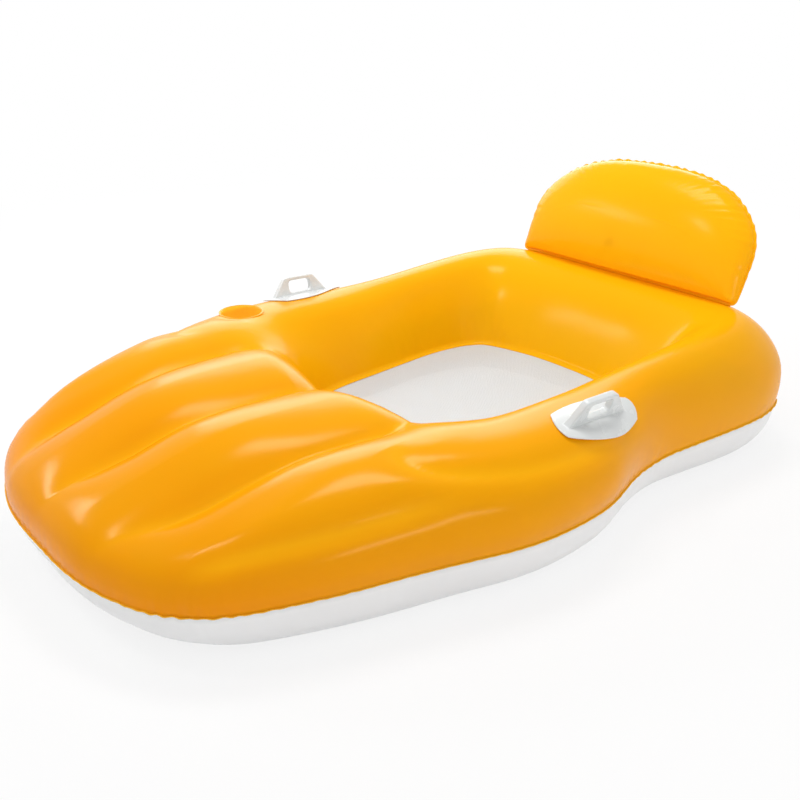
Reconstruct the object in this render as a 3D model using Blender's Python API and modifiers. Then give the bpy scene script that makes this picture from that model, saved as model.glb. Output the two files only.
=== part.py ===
"""Inflatable pool lounger: a ring of welded vinyl with a lobed nose deck, net seat and backrest.

Metres, +Z up. The head end points to +Y, the nose to -Y, and the origin is on the floor under
the middle of the float. Every sheet is a thin skin, because the object is a bag of air.
"""
import math

import bmesh
import bpy
import numpy as np
from mathutils import Matrix, Vector
from mathutils.bvhtree import BVHTree

MM = 0.001

# Sheets and fits
SKIN = 0.5 * MM                 # vinyl sheet thickness
GAP = 0.3 * MM                  # clearance between pieces that touch
FLANGE = 6 * MM                 # welded margin outside each seam
SEAT_FLANGE = 12 * MM           # wider margin that holds the net

# The outer weld between the orange top and the white bottom
RING_WIDTH = 1.04
RING_LENGTH = 1.58
RING_WELD_HEIGHT = 0.095
# From that weld in to the ridge that runs round the well, in plan
ARM_SHOULDER = 0.133
NOSE_DECK = 0.482
BACK_SHOULDER = 0.135
CREST_HEIGHT = 0.249            # top of the armrests above the floor
# And from the ridge in to the inner weld, where the net is held
ARM_FALL = 0.116
NOSE_FALL = 0.143
BACK_FALL = 0.175
WELL_HEIGHT = 0.09              # net above the floor
BILGE_RADIUS = 0.080            # how far in from a weld the bottom sheet meets the floor
BILGE_SHARES = ((0, 0), (0.13, 0.50), (0.48, 0.86), (1, 1))     # (way in, way down)
NOSE_BILGE_SHARE = 0.5          # how much wider that is under the nose
NOSE_BILGE_LENGTH = 0.44        # it starts this far behind the nose
NOSE_BILGE_RUN = 0.35           # and grows over this

# Stations round the right half, nose centre to back centre, as shares of the half sizes above
OUTER_WELD_SHARES = (
    (0.000, -1.000), (0.269, -0.996), (0.519, -0.947), (0.625, -0.896), (0.712, -0.829),
    (0.817, -0.639), (0.875, -0.481), (0.929, -0.354), (0.981, -0.237), (1.000, -0.114),
    (0.985, 0.025), (0.942, 0.114), (0.894, 0.209), (0.867, 0.329), (0.879, 0.468),
    (0.898, 0.671), (0.875, 0.791), (0.798, 0.886), (0.538, 0.977), (0.269, 0.999),
    (0.000, 1.000),
)
CREST_SHARES = (
    (0.000, -1.000), (0.315, -0.954), (0.607, -0.917), (0.736, -0.904), (0.832, -0.884),
    (0.912, -0.842), (0.959, -0.776), (0.987, -0.682), (1.000, -0.568), (0.997, -0.423),
    (0.987, -0.256), (0.974, -0.132), (0.966, 0.003), (0.964, 0.159), (0.972, 0.346),
    (0.979, 0.637), (0.943, 0.834), (0.840, 0.938), (0.574, 0.985), (0.284, 1.000),
    (0.000, 1.000),
)
WELL_SHARES = (
    (0.000, -1.000), (0.325, -0.984), (0.583, -0.947), (0.686, -0.907), (0.760, -0.845),
    (0.834, -0.712), (0.871, -0.597), (0.897, -0.488), (0.915, -0.364), (0.930, -0.225),
    (0.948, -0.085), (0.967, 0.054), (0.985, 0.194), (1.000, 0.349), (1.000, 0.504),
    (0.967, 0.705), (0.886, 0.839), (0.768, 0.904), (0.461, 0.972), (0.232, 0.997),
    (0.000, 1.000),
)
# Ridge height at each station, as a share of the armrests' crest height
CREST_HEIGHT_SHARES = (
    1.035, 1.035, 1.035, 1.035, 1.035, 1.03, 1.02, 1.005, 1.00, 1.00, 1.00, 1.005, 1.02, 1.045,
    1.07, 1.105, 1.12, 1.13, 1.13, 1.13, 1.13,
)
# How far each station follows the long deck section, the nose corner's and the back's
DECK_SHARES = (
    1.0, 0.9, 0.5, 0.25, 0.1, 0.0, 0.0, 0.0, 0.0, 0.0, 0.0, 0.0, 0.0, 0.0, 0.0, 0.0,
    0.0, 0.0, 0.0, 0.0, 0.0,
)
CORNER_SHARES = (
    0.0, 0.1, 0.5, 0.7, 0.6, 0.35, 0.12, 0.0, 0.0, 0.0, 0.0, 0.0, 0.0, 0.0, 0.0, 0.0,
    0.0, 0.0, 0.0, 0.0, 0.0,
)
BACK_SHARES = (
    0.0, 0.0, 0.0, 0.0, 0.0, 0.0, 0.0, 0.0, 0.0, 0.0, 0.0, 0.0, 0.0, 0.1, 0.25,
    0.55, 0.8, 1.0, 1.0, 1.0, 1.0,
)
# Cross sections as (way across, way up) shares: seam to crest, then crest to well
DECK_RISE_SHARES = (
    (0, 0), (-0.005, 0.18), (0.01, 0.35), (0.07, 0.51), (0.22, 0.70), (0.58, 1.02), (1, 1))
CORNER_RISE_SHARES = (
    (0, 0), (0.00, 0.19), (0.05, 0.39), (0.16, 0.58), (0.36, 0.78), (0.66, 0.97), (1, 1))
ARM_RISE_SHARES = (
    (0, 0), (-0.09, 0.25), (-0.08, 0.52), (0.05, 0.75), (0.27, 0.91), (0.60, 0.99), (1, 1))
BACK_RISE_SHARES = (
    (0, 0), (-0.03, 0.22), (0.01, 0.45), (0.18, 0.66), (0.43, 0.84), (0.72, 0.965), (1, 1))
DECK_FALL_SHARES = ((0.34, 0.955), (0.61, 0.81), (0.81, 0.56), (0.94, 0.27), (1, 0))
ARM_FALL_SHARES = ((0.26, 0.965), (0.47, 0.85), (0.67, 0.61), (0.86, 0.30), (1, 0))
BACK_FALL_SHARES = ((0.24, 0.975), (0.46, 0.86), (0.67, 0.62), (0.86, 0.30), (1, 0))

# Creases of the nose deck in plan, as shares of the ring's half width and, from the nose, of the deck
CENTRE_CREASE_SHARES = ((0.0, -0.033), (0.0, 0.492), (0.0, 0.983), (0.0, 1.311))
LOBE_CREASE_SHARES = (
    (0.30, -0.033), (0.36, 0.131), (0.42, 0.279), (0.45, 0.492), (0.462, 0.738), (0.475, 0.951),
    (0.485, 1.082), (0.455, 1.213), (0.40, 1.311),
)
LOBE_CREASE_DEPTH = 0.040
LOBE_CREASE_WIDTH = 0.115       # from the crease to the top of its lobe
# Creases on the sides, as (station, section row) along the smooth surface
ARM_CREASE_STEPS = ((3.2, 6.2), (5.0, 5.0), (7.0, 3.85), (9.0, 3.3), (10.5, 3.15), (12.2, 3.0))
SIDE_CREASE_STEPS = ((2.6, 2.0), (4.0, 2.5), (5.5, 2.7), (7.2, 2.9))
ARM_CREASE_DEPTH = 0.016
ARM_CREASE_WIDTH = 0.060
SIDE_CREASE_DEPTH = 0.012
SIDE_CREASE_WIDTH = 0.055

# How finely the skins are divided
COLUMNS_PER_STATION = 2
RISE_ROWS = 9
FALL_ROWS = 6

# Cup well, in the left armrest only
CUP_RADIUS = 0.046
CUP_DEPTH = 0.075
CUP_OUTSET = 0.025              # its centre, out from the armrest's ridge
CUP_AHEAD = 0.3235              # and towards the nose from the middle of the ridge
CUP_RIM_HEIGHT = 0.250          # the skin is pressed down to this level round the mouth
CUP_FLAT_RADIUS = 0.055         # the skin is level this far from the centre
CUP_BLEND_RADIUS = 0.078        # and back on its own curve here
CUP_WALL = 0.8 * MM
CUP_SIDES = 32

# Seat net
NET_THICKNESS = 0.8 * MM
NET_PITCH = 0.045
NET_STRAND = 0.006
NET_RIM = 0.010
LEAST_GAP_SHARE = 0.12          # a clipped gap smaller than this share of a full one is closed
TAPE_INSET = 1.5 * MM           # binding tape's outer edge, in from the well weld

# Strips inside that hold the creases down
WEB_CLEARANCE = 4 * MM
SIDE_WEB_CLEARANCE = 4 * MM     # to the crease's deepest line
WEB_STEPS = 16
DECK_WEB_START_SHARE = 0.22     # how far along its crease a deck web starts and ends
DECK_WEB_END_SHARE = 0.80
ARM_WEB_STATIONS = (5.2, 11.8)
ARM_WEB_LEFT_START = 9.4        # the cup well takes the place of the left web's front
SIDE_WEB_STATIONS = (3.2, 6.8)
ARM_WEB_FOOT_SHARE = 0.45       # of the way from the outer weld to the well
SIDE_WEB_FOOT_INSET = 0.012     # past the bilge

# Backrest pillow
HINGE_STAND = 6.13 * MM         # tilt axis above the back tube's ridge
BACKREST_LEAN = math.radians(25)
BACKREST_WIDTH = 0.635
BACKREST_HEIGHT = 0.258
BACKREST_DEPTH = 0.110
BACKREST_CENTRE_SHARE = 0.45    # height of the pillow's thickest point
BACKREST_POWER = 0.62           # how full the pillow is near its weld
BACKREST_RINGS = 5
BACKREST_STEPS_PER_POINT = 2
# Right half of the pillow's weld, base centre to top centre: shares of half width and height
BACKREST_SHARES = (
    (0.0, 0.0), (0.62, 0.0), (0.945, 0.0), (0.995, 0.08), (1.0, 0.24), (0.995, 0.40), (0.96, 0.56),
    (0.87, 0.705), (0.71, 0.855), (0.50, 0.95), (0.26, 0.99), (0.0, 1.0),
)
HINGE_STRIP_WIDTH = 0.52
HINGE_STRIP_STEPS = 12
HINGE_STRIP_THICKNESS = 1.0 * MM
HINGE_RUN = 0.45 * MM           # the strip ends this far below the tilt axis

# Handles
HANDLE_STATION = 10.38          # the pad's middle
HANDLE_ROW = 4.3
HANDLE_PAD_LENGTH = 0.214
HANDLE_PAD_WIDTH = 0.0927
HANDLE_PROBE = 1.5              # stations and rows over which the armrest is measured for it
HANDLE_SEAT = 1.6 * MM          # pad's clearance to the smooth surface
HANDLE_PAD_THICKNESS = 2.6 * MM
HANDLE_CORNER_SHARE = 0.30      # how much the pad's ends are rounded
HANDLE_END_SHARE = 0.58         # width at its ends
HANDLE_END_POWER = 2.2
HANDLE_TURN_SHARE = 0.50        # how far its ends lie off the row, the rear one lower
HANDLE_PAD_CELLS = (10, 7)
LOOP_FOOT_LENGTH = 0.150
LOOP_TOP_LENGTH = 0.078
LOOP_HEIGHT = 0.046
LOOP_THICKNESS = 0.016
LOOP_BAR = 0.013
LOOP_LEG = 0.020
LOOP_SILL = 0.010               # solid foot of the loop under its window
LOOP_CORNER = 0.010
LOOP_WINDOW_CORNER = 0.007
LOOP_EDGE = 2.5 * MM
LOOP_EDGE_ANGLE = math.radians(50)      # only edges sharper than this are rounded
CORNER_STEPS = 3
LOOP_SINK = 0.012               # the loop starts this far under the pad, before it is trimmed
LOOP_AHEAD = 0.026              # loop's middle, towards the nose from the pad's
LOOP_ABOVE = 0.0105             # and towards the well
SLAB_DEPTH = 0.030              # depth of the shape that trims the loop's foot off inside the pad

# Air valves: a soft stem in a welded flange, with a plug and a check flap
VALVE_FLANGE_RADIUS = 0.014
VALVE_FLANGE_THICKNESS = 1.2 * MM
VALVE_COLLAR_RADIUS = 0.0078
VALVE_COLLAR_HEIGHT = 3.5 * MM
STEM_RADIUS = 0.0055
STEM_BORE = 0.0040
STEM_HEIGHT = 0.014             # top of the stem above the skin when pulled out
STEM_FOOT = 0.008               # and its foot below it
STEM_LIP = 1.0 * MM
PLUG_HEAD_RADIUS = 0.0064
PLUG_HEAD_HEIGHT = 2.2 * MM
PLUG_SHANK_LENGTH = 0.006
PLUG_TAB_LENGTH = 0.010
PLUG_TAB_WIDTH = 0.005
PLUG_TAB_THICKNESS = 1.4 * MM
PLUG_TAB_SHARE = 0.25           # of the tab's length, its middle past the head's edge
FLAP_THICKNESS = 0.8 * MM
VALVE_HOLE_RADIUS = STEM_RADIUS + 3 * GAP
VALVE_HOLE_DEPTH = 0.012
VALVE_SIDES = 20
MAIN_VALVE_STATION = -16.25
MAIN_VALVE_ROW = 2.1
BACKREST_VALVE_SIDE_SHARE = -0.35
BACKREST_VALVE_HEIGHT_SHARE = 0.30

# Fine points of the surfaces
STATION_NUDGES = np.array([-0.05, 0.0, 0.05])   # steps over which a normal is measured
ROW_NUDGE = 0.05
CREASE_FADE_SHARE = 0.12        # a crease runs out over this share of its length
CREASE_SAMPLES = 90
WELD_HOLD_ROWS = 1.2            # creases run out over this many section rows from a weld
MERGE_DISTANCE = 0.01 * MM
LEAST_LENGTH = 1e-12

COLLECTION_NAME = "pool_lounger"
CUTTER_COLLECTION_NAME = "cutters"
# Base colour and roughness
FINISH_VALUES = {
    "orange_vinyl": ((1.0, 0.62, 0.02), 0.22),
    "white_vinyl": ((0.86, 0.86, 0.87), 0.30),
    "white_plastic": ((0.90, 0.90, 0.90), 0.25),
    "net": ((0.84, 0.84, 0.85), 0.60),
    "valve_vinyl": ((0.88, 0.88, 0.86), 0.35),
}
FINISHES = {}


def catmull_rom(values, where):
    """Smooth curve through rows of values, read at fractional row numbers."""
    values = np.asarray(values, float)
    where = np.asarray(where, float)
    low = np.clip(np.floor(where).astype(int), 0, len(values) - 2)
    part = (where - low).reshape(where.shape + (1,) * (values.ndim - 1))
    padded = np.concatenate([[2 * values[0] - values[1]], values, [2 * values[-1] - values[-2]]])
    before, start, end, after = (padded[low + k] for k in range(4))
    return 0.5 * (
        2 * start + (end - before) * part
        + (2 * before - 5 * start + 4 * end - after) * part ** 2
        + (3 * start - before - 3 * end + after) * part ** 3
    )


def blend(arm, others, station):
    """One section between the armrest's and the others at a station, by their shares there."""
    arm = np.asarray(arm, float)
    changes = (shares[station] * (np.asarray(section) - arm) for section, shares in others)
    return arm + sum(changes)


CREST_WIDTH = RING_WIDTH - 2 * ARM_SHOULDER
CREST_LENGTH = RING_LENGTH - NOSE_DECK - BACK_SHOULDER
CREST_CENTRE_Y = (NOSE_DECK - BACK_SHOULDER) / 2
WELL_WIDTH = CREST_WIDTH - 2 * ARM_FALL
WELL_LENGTH = CREST_LENGTH - NOSE_FALL - BACK_FALL
WELL_CENTRE_Y = CREST_CENTRE_Y + (NOSE_FALL - BACK_FALL) / 2
BACKREST_Y = CREST_CENTRE_Y + CREST_LENGTH / 2
BACKREST_AXIS_HEIGHT = CREST_HEIGHT * CREST_HEIGHT_SHARES[-1] + HINGE_STAND
CUP_CENTRE = (-CREST_WIDTH / 2 - CUP_OUTSET, CREST_CENTRE_Y - CUP_AHEAD)


def ring_line(shares, width, length, centre_y):
    """Plan points of one of the three rings at every station of the right half."""
    shares = np.asarray(shares, float)
    return np.column_stack([shares[:, 0] * width / 2, shares[:, 1] * length / 2 + centre_y])


def station_sections():
    """Section points, stations by section rows by XYZ, for the right half."""
    outer = ring_line(OUTER_WELD_SHARES, RING_WIDTH, RING_LENGTH, 0.0)
    crest = ring_line(CREST_SHARES, CREST_WIDTH, CREST_LENGTH, CREST_CENTRE_Y)
    well = ring_line(WELL_SHARES, WELL_WIDTH, WELL_LENGTH, WELL_CENTRE_Y)
    sections = []
    for k in range(len(outer)):
        top = CREST_HEIGHT * CREST_HEIGHT_SHARES[k]
        rise = blend(ARM_RISE_SHARES, (
            (DECK_RISE_SHARES, DECK_SHARES), (CORNER_RISE_SHARES, CORNER_SHARES),
            (BACK_RISE_SHARES, BACK_SHARES)), k)
        fall = blend(ARM_FALL_SHARES, (
            (DECK_FALL_SHARES, DECK_SHARES), (DECK_FALL_SHARES, CORNER_SHARES),
            (BACK_FALL_SHARES, BACK_SHARES)), k)
        rows = []
        for across, up in rise:
            plan = outer[k] + (crest[k] - outer[k]) * across
            rows.append((*plan, RING_WELD_HEIGHT + (top - RING_WELD_HEIGHT) * up))
        for across, up in fall:
            plan = crest[k] + (well[k] - crest[k]) * across
            rows.append((*plan, WELL_HEIGHT + (top - WELL_HEIGHT) * up))
        sections.append(rows)
    return np.array(sections)


LAST_STATION = len(OUTER_WELD_SHARES) - 1
CREST_ROW = len(ARM_RISE_SHARES) - 1
LAST_ROW = CREST_ROW + len(ARM_FALL_SHARES)
MIRROR_X = np.array([-1.0, 1.0, 1.0])


def smooth_ring(stations, rows):
    """Uncreased surface at station numbers (negative on the left side) and section rows."""
    sections = station_sections()
    padded = np.concatenate([sections[1:2] * MIRROR_X, sections, sections[-2:-1] * MIRROR_X])
    stations = np.asarray(stations, float)
    side = np.where(stations < 0, -1.0, 1.0)
    along = catmull_rom(padded, np.abs(stations) + 1)
    points = np.stack([catmull_rom(section, rows) for section in along])
    points[..., 0] *= side[:, None]
    return points


def polyline(points, count):
    """Evenly numbered points on the smooth curve through a short list."""
    return catmull_rom(points, np.linspace(0, len(points) - 1, count))


def valley(points, line, depth, width):
    """How far each point sinks: the depth on the line, with round shoulders out to the width."""
    flat = points.reshape(-1, points.shape[-1])
    apart = np.linalg.norm(flat[:, None, :] - line[None, :, :], axis=2)
    nearest = apart.argmin(axis=1)
    along = nearest / (len(line) - 1)
    fade = np.clip(np.minimum(along, 1 - along) / CREASE_FADE_SHARE, 0, 1)
    near = 1 - np.clip(apart[np.arange(len(flat)), nearest] / width, 0, 1)
    sunk = depth * fade * (1 - np.sqrt(1 - near ** 2))
    return sunk.reshape(points.shape[:-1])


def deck_path(shares):
    """Plan points of a deck crease from its shares."""
    return np.array(shares) * (RING_WIDTH / 2, NOSE_DECK) - (0, RING_LENGTH / 2)


def crease_lines():
    """Plan lines of the deck's creases and space lines of the side creases, on the right."""
    centre = polyline(deck_path(CENTRE_CREASE_SHARES), CREASE_SAMPLES)
    lobe = polyline(deck_path(LOBE_CREASE_SHARES), CREASE_SAMPLES)
    sides = []
    for steps in (ARM_CREASE_STEPS, SIDE_CREASE_STEPS):
        path = polyline(np.array(steps), CREASE_SAMPLES)
        sides.append(np.array([smooth_ring([s], [r])[0, 0] for s, r in path]))
    return centre, lobe, sides[0], sides[1]


def grid_normals(points, closed):
    """Outward unit normals of a stations by rows grid."""
    if closed:
        along = np.roll(points, -1, axis=0) - np.roll(points, 1, axis=0)
    else:
        along = np.gradient(points, axis=0)
    across = np.gradient(points, axis=1)
    normal = np.cross(along, across)
    return normal / np.maximum(np.linalg.norm(normal, axis=2, keepdims=True), LEAST_LENGTH)


def smoothstep(value):
    """Ease from 0 to 1 as a value goes from 0 to 1."""
    value = np.clip(value, 0, 1)
    return value * value * (3 - 2 * value)


def top_surface(stations, rows):
    """The orange sheet's surface on the whole ring: smooth form, creases and cup seat."""
    points = smooth_ring(stations, rows)
    normals = grid_normals(points, closed=True)
    folded = points * np.where(points[..., :1] < 0, MIRROR_X, 1.0)
    centre, lobe, arm, side = crease_lines()
    sunk = valley(folded[..., :2], centre, LOBE_CREASE_DEPTH, LOBE_CREASE_WIDTH)
    sunk = np.maximum(sunk, valley(folded[..., :2], lobe, LOBE_CREASE_DEPTH, LOBE_CREASE_WIDTH))
    sunk = np.maximum(sunk, valley(folded, arm, ARM_CREASE_DEPTH, ARM_CREASE_WIDTH))
    sunk = np.maximum(sunk, valley(folded, side, SIDE_CREASE_DEPTH, SIDE_CREASE_WIDTH))
    held = smoothstep(np.minimum(rows, LAST_ROW - rows) / WELD_HOLD_ROWS)
    points = points - normals * (sunk * held)[..., None]
    away = np.linalg.norm(points[..., :2] - np.array(CUP_CENTRE), axis=2)
    level = smoothstep((CUP_BLEND_RADIUS - away) / (CUP_BLEND_RADIUS - CUP_FLAT_RADIUS))
    points[..., 2] -= level * np.maximum(points[..., 2] - CUP_RIM_HEIGHT, 0)
    return points


def new_object(name, mesh, finish):
    """Object in the model's collection with its material."""
    part = bpy.data.objects.new(name, mesh)
    part.data.materials.append(FINISHES[finish])
    bpy.data.collections[COLLECTION_NAME].objects.link(part)
    return part


def grid_faces(grid, closed):
    """Triangles between a grid's columns and rows, split alike on the left and right halves."""
    columns, rows = grid.shape[:2]
    span = columns if closed else columns - 1
    faces = []
    for i in range(span):
        for j in range(rows - 1):
            here, there = i * rows + j, (i + 1) % columns * rows + j
            if i < span / 2:
                faces += [(here, there, there + 1), (here, there + 1, here + 1)]
            else:
                faces += [(here, there, here + 1), (there, there + 1, here + 1)]
    return faces


def loft(name, grid, finish, closed, thickness, offset):
    """Sheet through a stations by rows grid of points, thickened by Solidify."""
    mesh = bpy.data.meshes.new(name)
    mesh.from_pydata([tuple(p) for p in grid.reshape(-1, 3)], [], grid_faces(grid, closed))
    part = new_object(name, mesh, finish)
    part.data.shade_smooth()
    sheet = part.modifiers.new("thickness", "SOLIDIFY")
    sheet.thickness = thickness
    sheet.offset = offset
    return part


def closed_part(part):
    """Give a modelled object, such as a filled curve, one welded mesh without modifiers."""
    bpy.context.view_layer.update()
    graph = bpy.context.evaluated_depsgraph_get()
    mesh = bpy.data.meshes.new_from_object(part.evaluated_get(graph))
    shell = bmesh.new()
    shell.from_mesh(mesh)
    bmesh.ops.remove_doubles(shell, verts=shell.verts, dist=MERGE_DISTANCE)
    bmesh.ops.recalc_face_normals(shell, faces=shell.faces)
    shell.to_mesh(mesh)
    shell.free()
    solid = bpy.data.objects.new(part.name, mesh)
    solid.matrix_world = part.matrix_world
    for collection in part.users_collection:
        collection.objects.link(solid)
    name = part.name
    bpy.data.objects.remove(part)
    solid.name = name
    return solid


def outward(line):
    """Unit plan normals of a closed line of points that runs anticlockwise."""
    along = np.roll(line, -1, axis=0) - np.roll(line, 1, axis=0)
    normal = np.column_stack([along[:, 1], -along[:, 0]])
    return normal / np.linalg.norm(normal, axis=1, keepdims=True)


def ring_stations():
    """Every column of the ring, from the back centre round the left side and the nose."""
    count = 2 * LAST_STATION * COLUMNS_PER_STATION
    return np.arange(count) / COLUMNS_PER_STATION - LAST_STATION


def section_rows():
    """The rows of the orange sheet, closer together past the crest."""
    rise = np.linspace(0, CREST_ROW, RISE_ROWS + 1)
    fall = np.linspace(CREST_ROW, LAST_ROW, FALL_ROWS + 1)
    return np.concatenate([rise, fall[1:]])


def with_flanges(grid):
    """Add the welded margins outside the outer weld and inside the well weld."""
    outer, well = grid[:, 0].copy(), grid[:, -1].copy()
    outer[:, :2] += FLANGE * outward(outer[:, :2])
    well[:, :2] -= SEAT_FLANGE * outward(well[:, :2])
    return np.concatenate([outer[:, None], grid, well[:, None]], axis=1)


def top_grid():
    """Inner face of the orange sheet."""
    rows = section_rows()
    grid = top_surface(ring_stations(), rows)
    lift_outer, lift_well = GAP / 2, NET_THICKNESS / 2 + GAP
    grid[..., 2] += lift_outer + (lift_well - lift_outer) * rows / LAST_ROW
    return grid


def bottom_grid():
    """Inner face of the white sheet, flat on the floor between its two bilges."""
    welds = smooth_ring(ring_stations(), [0, LAST_ROW])
    outer, well = welds[:, 0], welds[:, 1]
    across = well[:, :2] - outer[:, :2]
    length = np.linalg.norm(across, axis=1, keepdims=True)
    across = across / length
    ahead = NOSE_BILGE_LENGTH - RING_LENGTH / 2 - outer[:, 1:2]
    widening = 1 + NOSE_BILGE_SHARE * smoothstep(ahead / NOSE_BILGE_RUN)
    outer_top = RING_WELD_HEIGHT - GAP / 2
    well_bottom = WELL_HEIGHT - NET_THICKNESS / 2 - GAP
    rows = []
    for way_in, way_down in BILGE_SHARES:
        height = outer_top + (SKIN - outer_top) * way_down
        plan = outer[:, :2] + across * BILGE_RADIUS * widening * way_in
        rows.append(np.column_stack([plan, np.full(len(plan), height)]))
    for way_in, way_down in reversed(BILGE_SHARES):
        height = well_bottom + (SKIN - well_bottom) * way_down
        plan = well[:, :2] - across * BILGE_RADIUS * way_in
        rows.append(np.column_stack([plan, np.full(len(plan), height)]))
    return np.stack(rows, axis=1)


def well_outline(inset):
    """Plan of the well weld moved in towards the sitter."""
    line = smooth_ring(ring_stations(), [LAST_ROW])[:, 0, :2]
    return line - inset * outward(line)


def clipped(polygon, fence):
    """Part of a polygon inside an anticlockwise convex fence."""
    for start, end in zip(fence, np.roll(fence, -1, axis=0)):
        edge = end - start
        kept = []
        for here, there in zip(polygon, polygon[1:] + polygon[:1]):
            side_here = edge[0] * (here[1] - start[1]) - edge[1] * (here[0] - start[0])
            side_there = edge[0] * (there[1] - start[1]) - edge[1] * (there[0] - start[0])
            if side_here >= 0:
                kept.append(here)
            if side_here * side_there < 0:
                share = side_here / (side_here - side_there)
                kept.append(tuple(h + (t - h) * share for h, t in zip(here, there)))
        polygon = kept
        if len(polygon) < 3:
            return []
    return polygon


def polygon_area(polygon):
    """Area inside a plan polygon."""
    edges = zip(polygon, polygon[1:] + polygon[:1])
    return abs(sum(a[0] * b[1] - b[0] * a[1] for a, b in edges)) / 2


def net_gaps():
    """The openings of the net, square but for those that its rim cuts."""
    fence = well_outline(SEAT_FLANGE + GAP + NET_RIM)
    low, high = fence.min(axis=0), fence.max(axis=0)
    reach = (NET_PITCH - NET_STRAND) / 2
    columns = math.ceil(high[0] / NET_PITCH)
    rows = math.ceil((high[1] - low[1]) / NET_PITCH)
    first_y = (low[1] + high[1]) / 2 - (rows - 1) * NET_PITCH / 2
    gaps = []
    for row in range(rows):
        for column in range(-columns, columns):
            x, y = (column + 0.5) * NET_PITCH, first_y + row * NET_PITCH
            corners = ((-1, -1), (1, -1), (1, 1), (-1, 1))
            square = [(x + reach * across, y + reach * along) for across, along in corners]
            gap = clipped(square, fence)
            if len(gap) > 2 and polygon_area(gap) > LEAST_GAP_SHARE * polygon_area(square):
                gaps.append(gap)
    return gaps


def flat_plate(name, outlines, thickness, finish):
    """Plate in the XY plane from plan outlines, the first the rim and the rest its holes."""
    curve = bpy.data.curves.new(name, "CURVE")
    curve.dimensions = "2D"
    curve.fill_mode = "BOTH"
    curve.extrude = thickness / 2
    for outline in outlines:
        spline = curve.splines.new("POLY")
        spline.points.add(len(outline) - 1)
        for point, (x, y) in zip(spline.points, outline):
            point.co = (x, y, 0, 1)
        spline.use_cyclic_u = True
    return new_object(name, curve, finish)


def make_net():
    """Net in one plane, with its binding tape round it between the two sheets."""
    rim = [tuple(p) for p in well_outline(SEAT_FLANGE + GAP)]
    net = flat_plate("seat_net", [rim] + net_gaps(), NET_THICKNESS, "net")
    net.location.z = WELL_HEIGHT
    closed_part(net)
    height = np.full((len(rim), 1), WELL_HEIGHT)
    edges = [np.hstack([well_outline(inset), height]) for inset in (TAPE_INSET, SEAT_FLANGE)]
    loft("seat_border", np.stack(edges, axis=1), "net", True, NET_THICKNESS, 0)


def make_skins():
    """Orange top sheet and white bottom sheet; returns the grid of the top sheet's inner face."""
    grid = top_grid()
    top = loft("top_skin", with_flanges(grid), "orange_vinyl", True, SKIN, 1)
    loft("bottom_skin", with_flanges(bottom_grid()), "white_vinyl", True, SKIN, -1)
    return top, grid


def skin_tree(grid):
    """Search tree of a ring sheet's inner face."""
    return BVHTree.FromPolygons([tuple(p) for p in grid.reshape(-1, 3)], grid_faces(grid, True))


def skin_height(tree, x, y):
    """Height of a sheet's inner face over a plan point."""
    return tree.ray_cast(Vector((x, y, RING_LENGTH)), Vector((0, 0, -1)))[0].z


def make_webs(tree):
    """Strips inside that tie each crease to the bottom sheet."""
    floor = skin_tree(bottom_grid())
    deck = (("web_center", CENTRE_CREASE_SHARES, (1,)), ("web", LOBE_CREASE_SHARES, (1, -1)))
    for name, shares, sides in deck:
        path = deck_path(shares)
        part = np.linspace(DECK_WEB_START_SHARE, DECK_WEB_END_SHARE, WEB_STEPS) * (len(path) - 1)
        plan = catmull_rom(path, part)
        for side in sides:
            rows = []
            for x, y in plan:
                top = skin_height(tree, x * side, y) - WEB_CLEARANCE
                foot = skin_height(floor, x * side, y) + GAP
                rows.append(((x * side, y, foot), (x * side, y, top)))
            loft(side_name(name, side, len(sides)), np.array(rows), "orange_vinyl", False, SKIN, 0)
    left_arm = (ARM_WEB_LEFT_START, ARM_WEB_STATIONS[1])
    web_runs = (
        ("web_arm", ARM_CREASE_STEPS, ARM_WEB_STATIONS, ARM_CREASE_DEPTH, 1),
        ("web_arm", ARM_CREASE_STEPS, left_arm, ARM_CREASE_DEPTH, -1),
        ("web_side", SIDE_CREASE_STEPS, SIDE_WEB_STATIONS, SIDE_CREASE_DEPTH, 1),
        ("web_side", SIDE_CREASE_STEPS, SIDE_WEB_STATIONS, SIDE_CREASE_DEPTH, -1),
    )
    for name, steps, (first, last), depth, side in web_runs:
        rows = []
        for station in np.linspace(first, last, WEB_STEPS):
            row = np.interp(station, [s[0] for s in steps], [s[1] for s in steps])
            near = smooth_ring(station + STATION_NUDGES, [row - ROW_NUDGE, row, row + ROW_NUDGE])
            normal = grid_normals(near, closed=False)[1, 1]
            edge = near[1, 1] - normal * (depth + SIDE_WEB_CLEARANCE)
            outer, well = smooth_ring([station], [0, LAST_ROW])[0, :, :2]
            across = well - outer
            if name == "web_arm":
                foot = outer + across * ARM_WEB_FOOT_SHARE
            else:
                foot = outer + across / np.linalg.norm(across) * (BILGE_RADIUS + SIDE_WEB_FOOT_INSET)
            rows.append(((*foot, skin_height(floor, *foot) + GAP), tuple(edge)))
        grid = np.array(rows)
        if side < 0:
            grid = grid * MIRROR_X
        loft(side_name(name, side, 2), grid, "orange_vinyl", False, SKIN, 0)


def side_name(name, side, count):
    """Name of the right or left one of a pair."""
    if count == 1:
        return name
    return name + ("_right" if side > 0 else "_left")


def cutter_object(name, mesh):
    """Object that only shapes another one."""
    cutter = bpy.data.objects.new(name, mesh)
    bpy.data.collections[CUTTER_COLLECTION_NAME].objects.link(cutter)
    cutter.hide_render = True
    cutter.display_type = "WIRE"
    return cutter


def cylinder_mesh(name, radius, depth, sides):
    """Capped cylinder about Z, centred on the origin."""
    shape = bmesh.new()
    bmesh.ops.create_cone(
        shape, cap_ends=True, segments=sides, radius1=radius, radius2=radius, depth=depth)
    mesh = bpy.data.meshes.new(name)
    shape.to_mesh(mesh)
    shape.free()
    return mesh


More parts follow.
